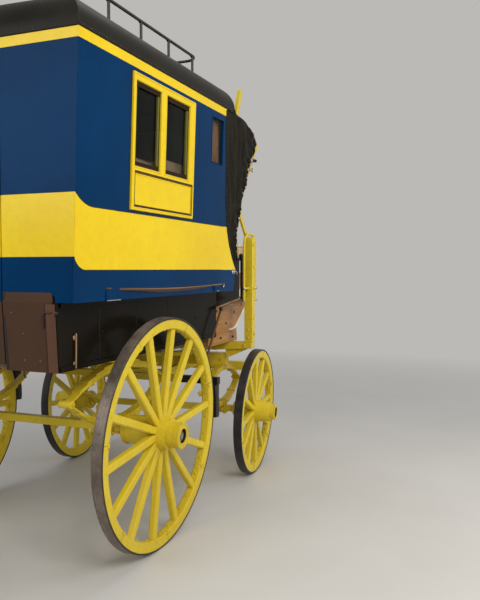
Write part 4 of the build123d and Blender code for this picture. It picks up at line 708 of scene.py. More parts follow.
def cushion(name, low, high, finish, node, rest, crown, buttons, voxel=0.014):
    """Stuffed pad in a box of the part's millimetres: crowned faces, drawn-in sides, piping and buttons.

    rest is the end of its thin axis, -1 or 1, that lies on what carries it.
    """
    low, high = Vector(low), Vector(high)
    size = high - low
    thin = min(range(3), key=lambda k: size[k])
    wide = [k for k in range(3) if k != thin]
    counts = [max(6, round(size[k] / 22)) for k in wide]
    layers = (-1, -0.82, -0.45, 0, 0.45, 0.82, 1)
    half = size / 2
    middle = (low + high) / 2

    def puff(u, v):
        edge = min(1 - abs(u), 1 - abs(v))
        rise = 1 - (1 - min(1, edge * 3.2)) ** 2.4
        dents = 0
        for bu, bv in buttons:
            far = hypot((u - bu) * half[wide[0]], (v - bv) * half[wide[1]])
            dents += 16 * 2.718 ** (-((far / 46) ** 2)) + 5 * 2.718 ** (-((far / 110) ** 2))
        return crown * rise - dents

    def point(u, v, t):
        q = Vector(middle)
        q[wide[0]] += u * (half[wide[0]] - PAD_INSET)
        q[wide[1]] += v * (half[wide[1]] - PAD_INSET)
        belly = 6 * (1 - t * t) - 4
        q[wide[0]] += (u**9) * belly
        q[wide[1]] += (v**9) * belly
        lift = t * (half[thin] - PAD_INSET - 4)
        if t * rest < 0:
            lift += (t**3) * (puff(u, v) - 8) * 0.9
        q[thin] += lift
        q[thin] += noise.noise(q * 0.012) * 2.4 * t
        return place(*q)

    solid = Solid(name, finish, smooth=60)
    steps = [[-1 + 2 * k / count for k in range(count + 1)] for count in counts]
    for end in (-1, 1):
        solid.grid([[point(u, v, end) for v in steps[1]] for u in steps[0]])
    border = [(u, -1) for u in steps[0]] + [(1, v) for v in steps[1][1:]]
    border += [(u, 1) for u in reversed(steps[0][:-1])] + [(-1, v) for v in reversed(steps[1][1:-1])]
    solid.rings([[point(u, v, t) for u, v in border] for t in layers], ends=False)
    pad = solid.object(replaces=(node,), weld=0.0005)
    piping = Solid(f"{name}_piping", finish, smooth=60)
    held = []
    for end in (-1, 1):
        line = [point(u, v, end * 0.97) for u, v in border]
        held.extend((q, 1.3 * voxel) for q in line)
        piping.tube(line, 4.2, 8, closed=True)
    tufts = Solid(f"{name}_buttons", finish, smooth=60)
    for u, v in buttons:
        spot = point(u, v, -rest)
        tufts.lathe(TUFT, spot, ACROSS[thin] * -rest, 14)
        held.append((spot, 0.014))
    pads.append((pad, held, voxel, thin, rest, place(*low), place(*high)))


def remeshed(pad, voxel):
    """Give a pad an even mesh of one voxel size."""
    modifier(pad, "REMESH", mode="VOXEL", voxel_size=voxel)
    depsgraph = bpy.context.evaluated_depsgraph_get()
    even = bpy.data.meshes.new_from_object(pad.evaluated_get(depsgraph))
    pad.modifiers.clear()
    even.materials.clear()
    even.materials.append(pad.data.materials[0])
    pad.data = even


def swell_pads():
    """Stuff every pad at once by a short cloth simulation, its seams, buttons and resting face held."""
    rests = []
    for pad, held, voxel, thin, rest, low, high in pads:
        remeshed(pad, voxel)
        tree = kdtree.KDTree(len(held))
        for number, (spot, _) in enumerate(held):
            tree.insert(spot, number)
        tree.balance()
        pinned = []
        floor_level = (high if rest > 0 else low)[thin]
        for vertex in pad.data.vertices:
            _, number, far = tree.find(vertex.co)
            if far < held[number][1] or abs(vertex.co[thin] - floor_level) < 0.016:
                pinned.append(vertex.index)
        pad.vertex_groups.new(name="held").add(pinned, 1.0, "REPLACE")
        rests.append([vertex.co.copy() for vertex in pad.data.vertices])
        cloth_made = modifier(pad, "CLOTH")
        settings = cloth_made.settings
        settings.quality = 5
        settings.use_pressure = True
        settings.uniform_pressure_force = 4
        settings.vertex_group_mass = "held"
        settings.effector_weights.gravity = 0
        cloth_made.collision_settings.use_collision = False
        cloth_made.point_cache.frame_end = SWELL_FRAMES
    for number in range(1, SWELL_FRAMES + 1):
        bpy.context.scene.frame_set(number)
    depsgraph = bpy.context.evaluated_depsgraph_get()
    for (pad, _, _, _, _, low, high), start in zip(pads, rests):
        swelled = [vertex.co.copy() for vertex in pad.evaluated_get(depsgraph).data.vertices]
        for vertex, before, after in zip(pad.data.vertices, start, swelled):
            step = after - before
            if step.length > SWELL_CAP:
                step *= SWELL_CAP / step.length
            moved = before + step
            for k in range(3):
                moved[k] = min(max(moved[k], low[k]), high[k] + 0.004)
            vertex.co = moved
        pad.modifiers.clear()
        pad.vertex_groups.clear()
        pad.data.shade_smooth()
    bpy.context.scene.frame_set(1)


def button_rows(across, along):
    """Shares of a face where its buttons sit, every other row moved along."""
    spots = []
    for a in range(across):
        for b in range(along):
            u = -1 + 2 * (a + 0.5) / across
            v = -1 + 2 * (b + 0.5) / along
            if a % 2:
                v += 1 / along
            if abs(v) < 0.97:
                spots.append((u, v))
    return spots


bench_rear = REAR_Y + WELL_REAR_LEAN + BOARD + 20
bench_front = FRONT_WALL_Y - BOARD - 20
for hand, name in SIDES:
    inner, outer = sorted((hand * 300, hand * 722))
    cushion(f"bench_cushion_{name}", (inner, bench_rear, 1410), (outer, bench_front, 1490),
            "seat_leather", "bench_cushions", -1, 14, button_rows(2, 8), 0.016)
    inner, outer = sorted((hand * 662, hand * 722))
    cushion(f"back_cushion_{name}", (inner, bench_rear, 1490), (outer, bench_front, 1950),
            "seat_leather", "back_cushions", hand, 12, button_rows(8, 2), 0.016)
cushion("driver_cushion", (-650, 1075, 1630), (650, 1594, 1730), "tan_hide", "driver_cushions", -1, 14,
        button_rows(5, 2))
cushion("driver_back", (-575, 885, 1730), (575, 975, 2060), "seat_leather", "driver_cushions", -1, 14,
        button_rows(6, 2), 0.012)
swell_pads()
for pad, *_ in pads:
    modifier(pad, "SUBSURF", levels=1, render_levels=1)

# Gathered curtains behind the panes


def gathered(name, origin, along, wide, tall, finish, pleats, deep, seed):
    """Pleated curtain hung from a rod, its pleats spreading towards the hem."""
    out = along.cross(-Z_AXIS)
    columns, rows = pleats * 10, 24
    lines = []
    for r in range(rows + 1):
        t = r / rows
        line = []
        for c in range(columns + 1):
            s = c / columns
            phase = 2 * pi * (s * pleats + 0.18 * noise.noise(Vector((s * 5, t * 1.4, seed))))
            fold = sin(phase) * deep * (0.55 + 0.45 * t) + 3 * noise.noise(Vector((s * 9, t * 3, seed + 4)))
            slide = cos(phase) * deep * 0.3
            spot = origin + along * ((s * wide + slide) / 1000)
            line.append(spot - Z_AXIS * (t * tall / 1000) + out * (fold / 1000))
        lines.append(line)
    solid = Solid(name, finish, smooth=80)
    solid.grid(lines)
    made = solid.object(sheet=True)
    cut = sum(sum((b - a).length for a, b in zip(line, line[1:])) for line in lines) / len(lines)
    drop = sum((b[columns // 2] - a[columns // 2]).length for a, b in zip(lines, lines[1:]))


rods = Solid("curtain_rods", "old_brass")
for hand, name in SIDES:
    for number, (rear, front) in enumerate(((-170, 60), (84, 440))):
        x = side_x(2200) - 62
        top = (2120, 2158)[number]
        gathered(f"curtain_{name}_{number}", place(hand * x, rear, top), Y_AXIS, front - rear, top - 2050,
                 "curtain_cloth", 12 + 6 * number, 6, 3.3 + number + hand)
        rods.tube(mirrored(hand, ((x, rear - 30, top + 1), (x, front + 30, top + 1))), 3.5, 8)
    x = side_x(2240) - 37
    gathered(f"curtain_{name}_small", place(hand * x, 672, 2500), Y_AXIS, 176, 262, "brown_cloth", 8, 7,
             8.3 + hand)
    rods.tube(mirrored(hand, ((x, 655, 2502), (x, 856, 2502))), 3.5, 8)
gathered("curtain_front", place(-285, 838, 2470), X_AXIS, 570, 345, "dark_cloth", 17, 8, 5.1)
rods.tube(mirrored(1, ((-310, 838, 2471), (310, 838, 2471))), 4, 8)

# Wheels

SPOKE_TURN = radians(5.4)
CAP_FACE = 3
FELLOE_DEEP = 66
TYRE_THICK = 10
RIM_HALF = 27


def make_wheel_details(name, side, radius, track, spokes, nave_out, nave_in, cap_radius, inner_radius):
    """Felloe joints with clips, tyre bolts, nave rings and a dark bore with its nut, on one wheel."""
    front = name.startswith("front")
    body = f"wheel_{name}"
    axis = Vector((side * cos(CAMBER), 0, -sin(CAMBER)))
    ahead = Y_AXIS
    middle = Vector((side * (track + radius * sin(CAMBER)), 0, radius * cos(CAMBER)))
    if front:
        axis, ahead = STEER_TURN @ axis, STEER_TURN @ ahead
        middle = STEER_TURN @ middle + Vector((0, WHEELBASE, 0))
    over = axis.cross(ahead)

    def outward(angle):
        return ahead * cos(angle) + over * sin(angle)

    def round_about(angle):
        return over * cos(angle) - ahead * sin(angle)

    def at(r, angle, along):
        return place(*(middle + ahead * (r * cos(angle)) + over * (r * sin(angle)) + axis * along))

    def loop(r, along, count):
        return [at(r, 2 * pi * n / count, along) for n in range(count)]

    rim_in = radius - FELLOE_DEEP
    joints = Solid(f"{name}_felloe_joints", "dark_gap", body)
    clips = Solid(f"{name}_felloe_clips", "gear_yellow", body)
    bolts = Solid(f"{name}_tyre_bolts", "gear_yellow", body)
    plugs = Solid(f"{name}_tyre_plugs", "front_tyre" if front else "tyre_iron", body, slot="tyre_iron")
    for k in range(spokes):
        angle = SPOKE_TURN + 2 * pi * (k + 0.5) / spokes
        for share in (-0.2, 0.2):
            spot = angle + share * 2 * pi / spokes
            bolts.bolt(at(rim_in + 0.5, spot, 0), -outward(spot), 6.5, 5, True)
            plugs.lathe(((6, -1), (6, 0.5), (5, 0.9)), at(radius - 0.6, spot, 0), outward(spot), 12)
        if k % 2:
            continue
        axes = (outward(angle), round_about(angle), axis)
        rim_middle = (rim_in + radius - TYRE_THICK) / 2 + 2
        for face in (-1, 1):
            joints.bar(at(rim_middle, angle, face * (RIM_HALF - 0.6)), axes, (54, 1.8, 2.4), 0.2)
        joints.bar(at(rim_in + 0.6, angle, 0), axes, (2.4, 1.8, 46), 0.2)
        clips.bar(at(rim_in - 0.2, angle, 0), axes, (3.4, 46, 30), 0.8)
        clips.bar(at(rim_in + 9, angle, RIM_HALF), axes, (16, 30, 2.6), 0.6)
        for share in (-12, 12):
            spot = angle + share / rim_in
            clips.bolt(at(rim_in - 1.5, spot, 0), -outward(spot), 5, 4)
            clips.bolt(at(rim_in + 9, spot, RIM_HALF + 1), axis, 3.6, 2.6)
    end = at(0, 0, nave_out)
    rings = Solid(f"{name}_nave_rings", "gear_yellow", body, 50)
    for r, along, bead in ((cap_radius + 1, nave_out - 2, 2.6), (cap_radius + 1, nave_out - 24, 1.8),
                           (inner_radius + 5, 13 - nave_in, 2.4)):
        rings.tube(loop(r, along, 48), bead, 8, closed=True, up=axis)
    rings.lathe(((cap_radius - 1, 0), (cap_radius - 2, CAP_FACE), (cap_radius - 9, CAP_FACE),
                 (cap_radius - 10, -2)), end, axis, 48, closed=True)
    rings.lathe(((49, -2), (48, CAP_FACE), (41, CAP_FACE), (40.4, -2)), end, axis, 40, closed=True)
    pegs = Solid(f"{name}_spoke_pegs", "gear_yellow", body)
    for k in range(spokes):
        angle = SPOKE_TURN + 2 * pi * k / spokes
        pegs.lathe(((3.4, 0), (3.2, 1.8), (1.6, 3)), at(rim_in + 20, angle, RIM_HALF), axis, 8)
    bore = Solid(f"{name}_bore", "dark_gap", body, 50)
    steps = ((39.6, 0.5), (39.6, 33.2), (31, 33.2))
    bore.rings([loop(r, nave_out - back, 36) for r, back in steps], ends=False)
    nut = Solid(f"{name}_axle_nut", "nut_iron", "fore_carriage" if front else "coach", 30)
    nut.lathe(((35.2, 0), (35.2, 17), (32, 20.5), (14, 20.8)), at(0, 0, nave_out - 33), axis, 6)
    nut.lathe(((19, 20), (19, 26), (16, 28.5), (2, 29)), at(0, 0, nave_out - 33), axis, 20)
    nut.tube([at(0, 0, nave_out - 8) + (round_about(0.7) * t) / 1000 for t in (-24, -8, 8, 24)], 2.4, 8)


for side, hand in SIDES:
    make_wheel_details(f"rear_{hand}", side, **REAR_WHEEL)
    make_wheel_details(f"front_{hand}", side, **FRONT_WHEEL)

# Springs

SPRING_BAND = 0.6


def fore(x, y, z):
    """Point of the fore-carriage at rest, from its own frame at the kingpin."""
    turned = STEER_TURN @ Vector((x, y, z))
    return place(turned.x, turned.y + WHEELBASE, turned.z)


def fore_way(x, y, z):
    """Direction of the fore-carriage at rest."""
    return STEER_TURN @ Vector((x, y, z))


def coach_way(x, y, z):
    """Direction of the coach."""
    return Vector((x, y, z))


def make_spring_fittings(name, body, spring_x, half, leaves, sag_low, sag_high, low, at, way):
    """Eye bolts, bands round the leaves, nuts under the plates and on the clips."""
    eye = low + (leaves - 0.5) * LEAF + sag_low
    top = eye + sag_high + (leaves - 0.5) * LEAF
    solid = Solid(name, "gear_yellow", body)
    across, up = way(1, 0, 0), way(0, 0, 1)
    for x in (spring_x, -spring_x):
        for end in (-1, 1):
            for face in (-1, 1):
                way_out = across * face
                solid.bolt(at(x + face * 34, end * half, eye), way_out, 12, 8, True)
                solid.lathe(((21, 0), (21, 2.5), (18, 4)), at(x + face * 33.5, end * half, eye), way_out, 24)
            for rise, sag in ((-1, sag_low), (1, sag_high)):
                radius = (half**2 + sag**2) / (2 * sag)
                y = end * half * SPRING_BAND
                z = eye + rise * (sag - (radius - (radius**2 - y**2) ** 0.5))
                lean = way(*Vector((0, 1, -rise * y / radius)).normalized())
                solid.bar(at(x, y, z), (across, lean, across.cross(lean)), (60, 26, 24), 2)
                for face in (-1, 1):
                    solid.bolt(at(x + face * 30, y, z), across * face, 6, 4)
        for px, py in CORNERS:
            solid.bolt(at(x + px * 29.3, py * 26.3, low - 52), -up, 8, 8, True)
            solid.bolt(at(x + px * 29, py * 24, top - 24), across * px, 6.5, 5, True)


rear_low, front_low = (wheel["radius"] * cos(CAMBER) + wheel["nave_in"] * sin(CAMBER) + AXLE_HALF
                       for wheel in (REAR_WHEEL, FRONT_WHEEL))
make_spring_fittings("rear_spring_fittings", "coach", 508, 490, 5, 159, 120, rear_low, place, coach_way)
make_spring_fittings("front_spring_fittings", "fore_carriage", 500, 400, 4, 125, 125, front_low, fore,
                     fore_way)

# Woodwork of the turning gear

BOLSTER_TOP = 996
TRACE_EYE = ((20, -1), (20, 3), (13, 4), (12.2, -1))
straps = Solid("bolster_straps", "gear_yellow")
caps = Solid("bolster_bolts", "gear_yellow")
for side in (1, -1):
    for face in (-1, 1):
        way = (0, face, 0)
        for x, low_z in ((716, 950), (480, 926), (250, 926)):
            straps.bar(place(side * x, WHEELBASE + face * 35.8, (BOLSTER_TOP + low_z) / 2), ACROSS,
                       (36, 2.8, BOLSTER_TOP - low_z - 4), 0.6)
            caps.bolt(place(side * x, WHEELBASE + face * 37, 976), way, 8, 6, x == 480)
            caps.bolt(place(side * x, WHEELBASE + face * 37, low_z + 16), way, 6, 5)
        for z in (1030, 1090):
            caps.bolt(place(side * POST_X, WHEELBASE + face * 30.5, z), way, 8, 6)
    straps.bar(place(side * POST_X, WHEELBASE, 1060), ACROSS, (63, 63, 34), 1.5)
    for z, *size in ((1060, 9, 7, True), (1400, 8, 6), (1725, 10, 6)):
        caps.bolt(place(side * POST_FACE, WHEELBASE, z), (side, 0, 0), *size)

turning = Solid("turning_gear_bolts", "gear_yellow", "fore_carriage")
turned_axes = [fore_way(*axis) for axis in ACROSS]
futchell_top = front_low + 3.5 * LEAF + 250 + 3.5 * LEAF
for side in (1, -1):
    for x in (500, 300, 170):
        for face in (-1, 1):
            turning.bolt(fore(side * x, face * 35, futchell_top + 45), fore_way(0, face, 0), 8, 6, x == 500)
    for y in (-375, -240, 240, 420, 600):
        turning.bolt(fore(side * 195, y, futchell_top - 29), fore_way(side, 0, 0), 8, 6, y in (-375, 600))
    for x in (170, 400, 590):
        turning.bolt(fore(side * x, 647.2, futchell_top - 93), fore_way(0, 1, 0), 9, 6, True)
    for x in (240, 560):
        turning.lathe(TRACE_EYE, fore(side * x, 615, futchell_top - 58), fore_way(0, 0, 1), 24, closed=True)
    turning.bar(fore(side * 600, 615, futchell_top - 93), turned_axes, (22, 69, 75), 2)
for k in range(12):
    angle = 2 * pi * k / 12 + 0.2
    turning.bolt(fore(343 * cos(angle), 343 * sin(angle), 901.4), fore_way(0, 0, -1), 7, 4)

# Mouldings and painted shadow lines of the body

FRAME_PROUD = 10
PANEL_SINK = 7
SASH_FACE = -0.7
SASH_WIDE = 24
WINDOW_FRAME = (-314, 390, 1840, 2522)
PANES = ((-290, -24, 2062, 2484), (34, 320, 2062, 2484))
LOWER_PANEL = (-280, 372, 1864, 2032)
SMALL_WINDOW = (662, 836, 2220, 2503)
BAND_FOOT = (1537, 1597, -674)
BAND_HEAD = (1825, 1881, -622)
DOOR_WINDOW = (-215, 215, 1960, 2330)


def side_face(hand):
    """Placer of points on one side of the cabin: Y, Z and the distance off the board."""
    return lambda y, z, out: place(hand * (side_x(z) + out), y, z)


def rear_face(x, z, out):
    """Point on the rear panel, at a distance off it."""
    return place(x, rear_y(z) - out, z)


def half_round(near, far, base, high, steps=6):
    """Section of a bead between two insets, standing on a base."""
    middle, half = (near + far) / 2, (far - near) / 2
    turns = [pi * k / steps for k in range(steps + 1)]
    return [(middle - half * cos(a), base + high * sin(a)) for a in turns]


def flat(near, far, base, top):
    """Square section between two insets."""
    return [(near, base), (near, top), (far, top), (far, base)]


def surround(solid, rect, section, at):
    """Strip mitred round a rectangle, its section given as insets and heights off the face."""
    a0, a1, b0, b1 = rect
    corners = ((a0, b0, 1, 1), (a1, b0, -1, 1), (a1, b1, -1, -1), (a0, b1, 1, -1))
    rings = [[at(a + da * i, b + db * i, out) for i, out in section] for a, b, da, db in corners]
    solid.rings(rings, closed=True)


def band_line(line, start, end, steps=10):
    """Points of Y and Z along one edge of the waist band, from its rise at the rear corner."""
    z, corner_z, step_y = line
    rise, run = corner_z - z, step_y - start
    radius = (run**2 + rise**2) / (2 * rise)
    full = asin(run / radius)
    turns = [full * k / steps for k in range(steps, 0, -1)]
    bend = [(step_y - radius * sin(a), z + radius * (1 - cos(a))) for a in turns]
    return [*bend, *[(step_y + (end - step_y) * k / 8, z) for k in range(9)]]


def stripe(solid, line, at, wide, base, top):
    """Thin line of paint or a low strip along points on a face."""
    section = flat(-wide / 2, wide / 2, base, top)
    solid.rings([[at(a, b + rise, out) for rise, out in section] for a, b in line])


def make_side_mouldings(hand, name):
    """Beads, sash linings, and dark brown painted shadow lines round the frame, panes and lower panel and
    along the belt lines, of one side.
    """
    at = side_face(hand)
    beads = Solid(f"side_beads_{name}", "body_yellow", smooth=50)
    # Painted shadow: dark brown strips round the frame, panes and lower panel, and along both belt edges
    shades = Solid(f"side_painted_shadow_lines_{name}", "painted_shadow_brown")
    stiles = Solid(f"sash_beads_{name}", "sash_green", smooth=50)
    blues = Solid(f"side_blue_beads_{name}", "body_blue", smooth=50)
    frame_base, floor_out = FRAME_PROUD - 0.5, FRAME_PROUD - PANEL_SINK
    surround(beads, WINDOW_FRAME, half_round(0, 10, frame_base, 4.5), at)
    surround(shades, WINDOW_FRAME, flat(-4, 0.5, -0.5, 1.4), at)
    surround(shades, LOWER_PANEL, flat(-7, 0.2, frame_base, FRAME_PROUD + 0.6), at)
    surround(shades, LOWER_PANEL, flat(0.1, 4, floor_out - 1, floor_out + 1.2), at)
    surround(beads, LOWER_PANEL, half_round(4, 12, floor_out - 0.5, 3.4), at)
    surround(beads, LOWER_PANEL, half_round(-14, -6.8, frame_base, 3), at)
    for rect in PANES:
        surround(beads, rect, half_round(-9, -0.4, frame_base, 4), at)
        surround(shades, rect, flat(0.4, 6.5, SASH_FACE - 0.5, SASH_FACE + 2.4), at)
        surround(stiles, rect, half_round(SASH_WIDE - 7, SASH_WIDE + 1, SASH_FACE - 1, 3.2), at)
        surround(stiles, rect, half_round(6, 13, SASH_FACE - 1, 2.6), at)
    surround(blues, SMALL_WINDOW, half_round(-8, 0, -0.6, 4), at)
    for line in (BAND_FOOT, BAND_HEAD):
        stripe(shades, band_line(line, REAR_Y, 890), at, 3.4, -0.5, 0.7)
    blues.tube([at(REAR_Y, z, 0) for z in (1392, 1500, 1596)], 4, 8)


def make_rub_rail(hand, name):
    """Long strip low on the side: straight top, bowed lower edge, a point behind and a hook in front."""
    at = side_face(hand)
    rings = []
    count = 48
    for k in range(count + 1):
        t = k / count
        y = -505 + t * 1412
        top = 1453 - 8 * t - 12 * sin(pi * t)
        deep = 5 + 26 * sin(pi * min(1, t * 1.04)) ** 0.8 * (1 - 0.2 * t) + (5 if t > 0.9 else 0)
        proud = 3 + 10 * min(1, 6 * t) * min(1, 14 * (1 - t) + 0.3)
        section = []
        for n in range(9):
            a = n / 8
            out = 0.4 + proud * sin(pi * (0.12 + 0.88 * a)) ** 0.6 * (1 - 0.35 * a)
            section.append(at(y, top - deep * a, out))
        rings.append([*section, at(y, top - deep, -0.6), at(y, top, -0.6)])
    Solid(f"rub_rail_{name}", "rail_brown", smooth=50).rings(rings)
    hook = ((904, 1446, 7), (913, 1444, 8), (916, 1434, 8), (912, 1424, 6), (906, 1421, 4))
    Solid(f"rub_rail_hook_{name}", "old_brass").tube([at(*q) for q in hook], 4, 10)
    bracket = Solid(f"side_brackets_{name}", "body_blue")
    for middle_y, z, wide, tall in ((-445, 1415, 124, 54), (799, 1416, 78, 40)):
        bracket.bar(at(middle_y, z, 3), UPRIGHT, (wide, tall, 8), 2)
        for y in (middle_y - wide / 2 + 16, middle_y + wide / 2 - 16):
            bracket.bolt(at(y, z, 6.5), (hand, 0, 0), 5.5, 4)
    lips = Solid(f"side_bracket_lips_{name}", "old_nickel")
    for middle_y, z, wide in ((-445, 1391, 120), (819, 1398, 38)):
        lips.bar(at(middle_y, z, 8), UPRIGHT, (wide, 5, 4), 1)


for hand, name in SIDES:
    make_side_mouldings(hand, name)
    make_rub_rail(hand, name)

# Rear door and rear panel

BACK = (0, -1, 0)
beads = Solid("door_beads", "body_yellow", "rear_door", 50)
# Painted shadow: dark brown strips round the door window and the door's middle panel
shades = Solid("door_painted_shadow_lines", "painted_shadow_brown", "rear_door")
blues = Solid("door_panel_beads", "body_blue", "rear_door", 50)
irons = Solid("door_screws", "old_brass", "rear_door")
for solid, rect, section in (
    (beads, DOOR_WINDOW, half_round(-16, 0, -0.5, 7)), (shades, DOOR_WINDOW, flat(-19, -15, -0.5, 0.8)),
    (beads, (-290, 290, 1640, 1800), half_round(0, 9, -0.5, 3.5)),
    (shades, (-292, 292, 1638, 1802), flat(0, 2.6, -0.5, 0.8)),
    (blues, (-285, 285, 1150, 1360), half_round(0, 10, -0.5, 4)),
    (blues, (-290, 290, 1930, 2370), half_round(0, 8, -0.5, 3)),
):
    surround(solid, rect, section, rear_face)
for z in (1500, 1740, 2330):
    for x in (-335, -305, -280):
        irons.bolt(place(x, REAR_Y - 16.2, z), BACK, 5.5, 3)
irons.bar(place(308, REAR_Y - 2, 1740), FACING_REAR, (34, 96, 4), 1.4)
for z in (1704, 1776):
    irons.bolt(place(308, REAR_Y - 4, z), BACK, 4, 2.5)
irons.lathe(((17, 0), (17, 2), (13, 6), (11, 7)), place(308, REAR_Y - 4, 1740), BACK, 24)
irons.bar(place(304, REAR_Y - 3, 1500), FACING_REAR, (70, 44, 5), 1.5)

posts = Solid("rear_panel_posts", "panel_brown")
gaps = Solid("rear_panel_gaps", "gap_red")
door_gaps = Solid("door_side_gaps", "dark_gap")
panel_bolts = Solid("rear_panel_bolts", "panel_brown")
panel_irons = Solid("rear_panel_irons", "iron_black", smooth=40)
well_rods = Solid("well_rods", "tan_iron", smooth=40)
uprights = ((posts, flat(606, 655, -1, 6), 1384), (gaps, flat(597, 606.5, -1, 1.2), 1384),
            (door_gaps, flat(364, 376, -2, 2), 1434))
handle = ((590, 1272, 6), (590, 1330, 7), (592, 1342, 8), (604, 1346, 10), (640, 1346, 10))
hook = ((455, -735, 1071), (455, -735, 1052), (455, -731, 1042), (455, -722, 1038))
rod = ((668, -628, 1242), (669, -630, 1160), (668, -632, 1078))
for hand in (1, -1):
    for solid, section, high_z in uprights:
        solid.rings([[rear_face(hand * x, z, out) for x, out in section] for z in (WELL_BOTTOM + 2, high_z)])
    panel_irons.tube([rear_face(hand * x, z, out) for x, z, out in handle], 3.2, 8)
    panel_irons.lathe(((3, -4), (3, 8), (6, 10), (7.4, 14), (6, 18), (1, 20)),
                      place(hand * 672, REAR_Y - 1, 1346), BACK, 16)
    for x, z in ((470, 1245), (470, 1120), (410, 1340), (560, 1120)):
        panel_bolts.bolt(rear_face(hand * x, z, 0), BACK, 4.5, 3)
    panel_irons.tube(mirrored(hand, hook), 4, 8)
    well_rods.tube(mirrored(hand, rod), 4.5, 10)
    for z in (1222, 1100):
        well_rods.tube(mirrored(hand, ((657, -629, z), (670, -629, z))), 4.5, 8)
        well_rods.lathe(((13, 0), (13, 2.5), (9, 5)), place(hand * 659.5, -629, z), (hand, 0, 0), 16)

# Battens, seams and bolts of the well and the ledge

battens = Solid("well_battens", "well_black")
seams = Solid("well_seams", "dark_gap")
well_bolts = Solid("well_bolts", "well_black")
for hand in (1, -1):
    for y in (-420, -60, 300, 660):
        seams.bar(place(hand * 660.4, y, 1230), UPRIGHT, (2.4, 312, 1.4), 0.3)
        for z in (1090, 1230, 1370):
            well_bolts.bolt(place(hand * 659.8, y + 22, z), (hand, 0, 0), 5.5, 3)
    for z in (1376, 1084):
        battens.bar(place(hand * 664, 130, z), UPRIGHT, (1740, 24, 9), 2)
for y in (-600, -340, 340, 600, 820):
    battens.bar(place(0, y, 1063), UPRIGHT, (60, 15, 880), 2)
    for x in (-400, -200, 0, 200, 400):
        well_bolts.bolt(place(x, y, 1055.6), (0, 0, -1), 8, 5, True)

# Roof canvas: seams, edge strips with nails, feet of the rail

SEAM = ((-9, -0.6), (-7, 1.4), (7, 1.4), (9, -0.6))
EDGE_STRIP = ((-1, 2595), (3.6, 2597), (3.6, 2611), (-1, 2613))
NAIL = ((4.4, 0), (3.8, 1.6), (1.6, 2.8))
NAIL_Z = 2604
roof_strips = Solid("roof_seams", "roof_black", smooth=40)
roof_nails = Solid("roof_nails", "iron_black")
rail_feet = Solid("roof_rail_feet", "iron_black", smooth=40)
for x in (-440, -150, 150, 440):
    roof_strips.rings([[place(x + across, y, roof_z(x + across) + rise) for across, rise in SEAM]
                       for y in range(-650, 901, 50)])
for hand in (1, -1):
    x = side_x(NAIL_Z) + 0.3
    strip = [mirrored(hand, ((x + out, y, z) for out, z in EDGE_STRIP)) for y in range(-762, 1013, 71)]
    roof_strips.rings(strip)
    for y in range(-740, 1000, 60):
        roof_nails.lathe(NAIL, place(hand * (x + 3.4), y, NAIL_Z), (hand, 0, 0), 8)
    for post in range(5):
        foot = place(hand * RAIL_X, -550 + post * 330, roof_z(RAIL_X))
        rail_feet.lathe(((14, 5), (12, 12), (9, 22)), foot, Z_AXIS, 20)
        rail_feet.lathe(((8, 162), (13, 164), (14, 168), (13, 172), (8, 174)), foot, Z_AXIS, 16)
        for turn in range(3):
            angle = 2 * pi * turn / 3 + 0.4
            spot = foot + Vector((0.016 * cos(angle), 0.016 * sin(angle), 0.0044))
            rail_feet.bolt(spot, Z_AXIS, 3.4, 2.4)
roof_strips.rings([[place(x, REAR_Y - out, z) for out, z in EDGE_STRIP] for x in range(-790, 791, 79)])
for x in range(-760, 761, 60):
    roof_nails.lathe(NAIL, place(x, REAR_Y - 3.4, NAIL_Z), BACK, 8)

# Hood straps, buckles, ring bolts

STRAP_REAR = (1268, 2318)
STRAP_FRONT = (1440, 2337)
RING_BOLT = (1372, 2262)


def on_strap(t):
    """Y and Z at a share of the strap's length."""
    return [rear + (front - rear) * t for rear, front in zip(STRAP_REAR, STRAP_FRONT)]


for hand, name in SIDES:
    strap = Solid(f"hood_straps_{name}", "leather_black", smooth=50)
    irons = Solid(f"hood_irons_{name}", "old_nickel", smooth=50)
    rings = []
    for k in range(9):
        t = k / 8
        y, z = on_strap(t)
        out = side_x(z) + 11 + 3 * sin(pi * t)
        half = 11 if t < 0.9 else 7
        section = ((-2, -half), (2, -half), (2.4, 0), (2, half), (-2, half))
        rings.append(mirrored(hand, ((out + a, y, z + b) for a, b in section)))
    strap.rings(rings)
    y, z = on_strap(0.35)
    out = side_x(z) + 16
    buckle = mirrored(hand, ((out, y + 13 * a, z + 16 * b) for a, b in CORNERS))
    irons.tube(buckle, 2, 8, closed=True, up=X_AXIS)
    irons.tube(mirrored(hand, ((out + 1, y, z - 16), (out + 1, y, z + 16))), 1.8, 8)
    y, z = RING_BOLT
    ring = circle(place(hand * (side_x(z) + 6), y, z), 14, 24, Y_AXIS, Z_AXIS)
    irons.tube(ring, 3.2, 8, closed=True, up=X_AXIS)
    irons.lathe(((7, -4), (7, 5), (5, 8), (1, 9)), place(hand * side_x(z), y, z), (hand, 0, 0), 12)
    irons.tube(mirrored(hand, ((side_x(z) + 1, 1330, 2256), (side_x(z) + 2, y, z))), 4, 8)
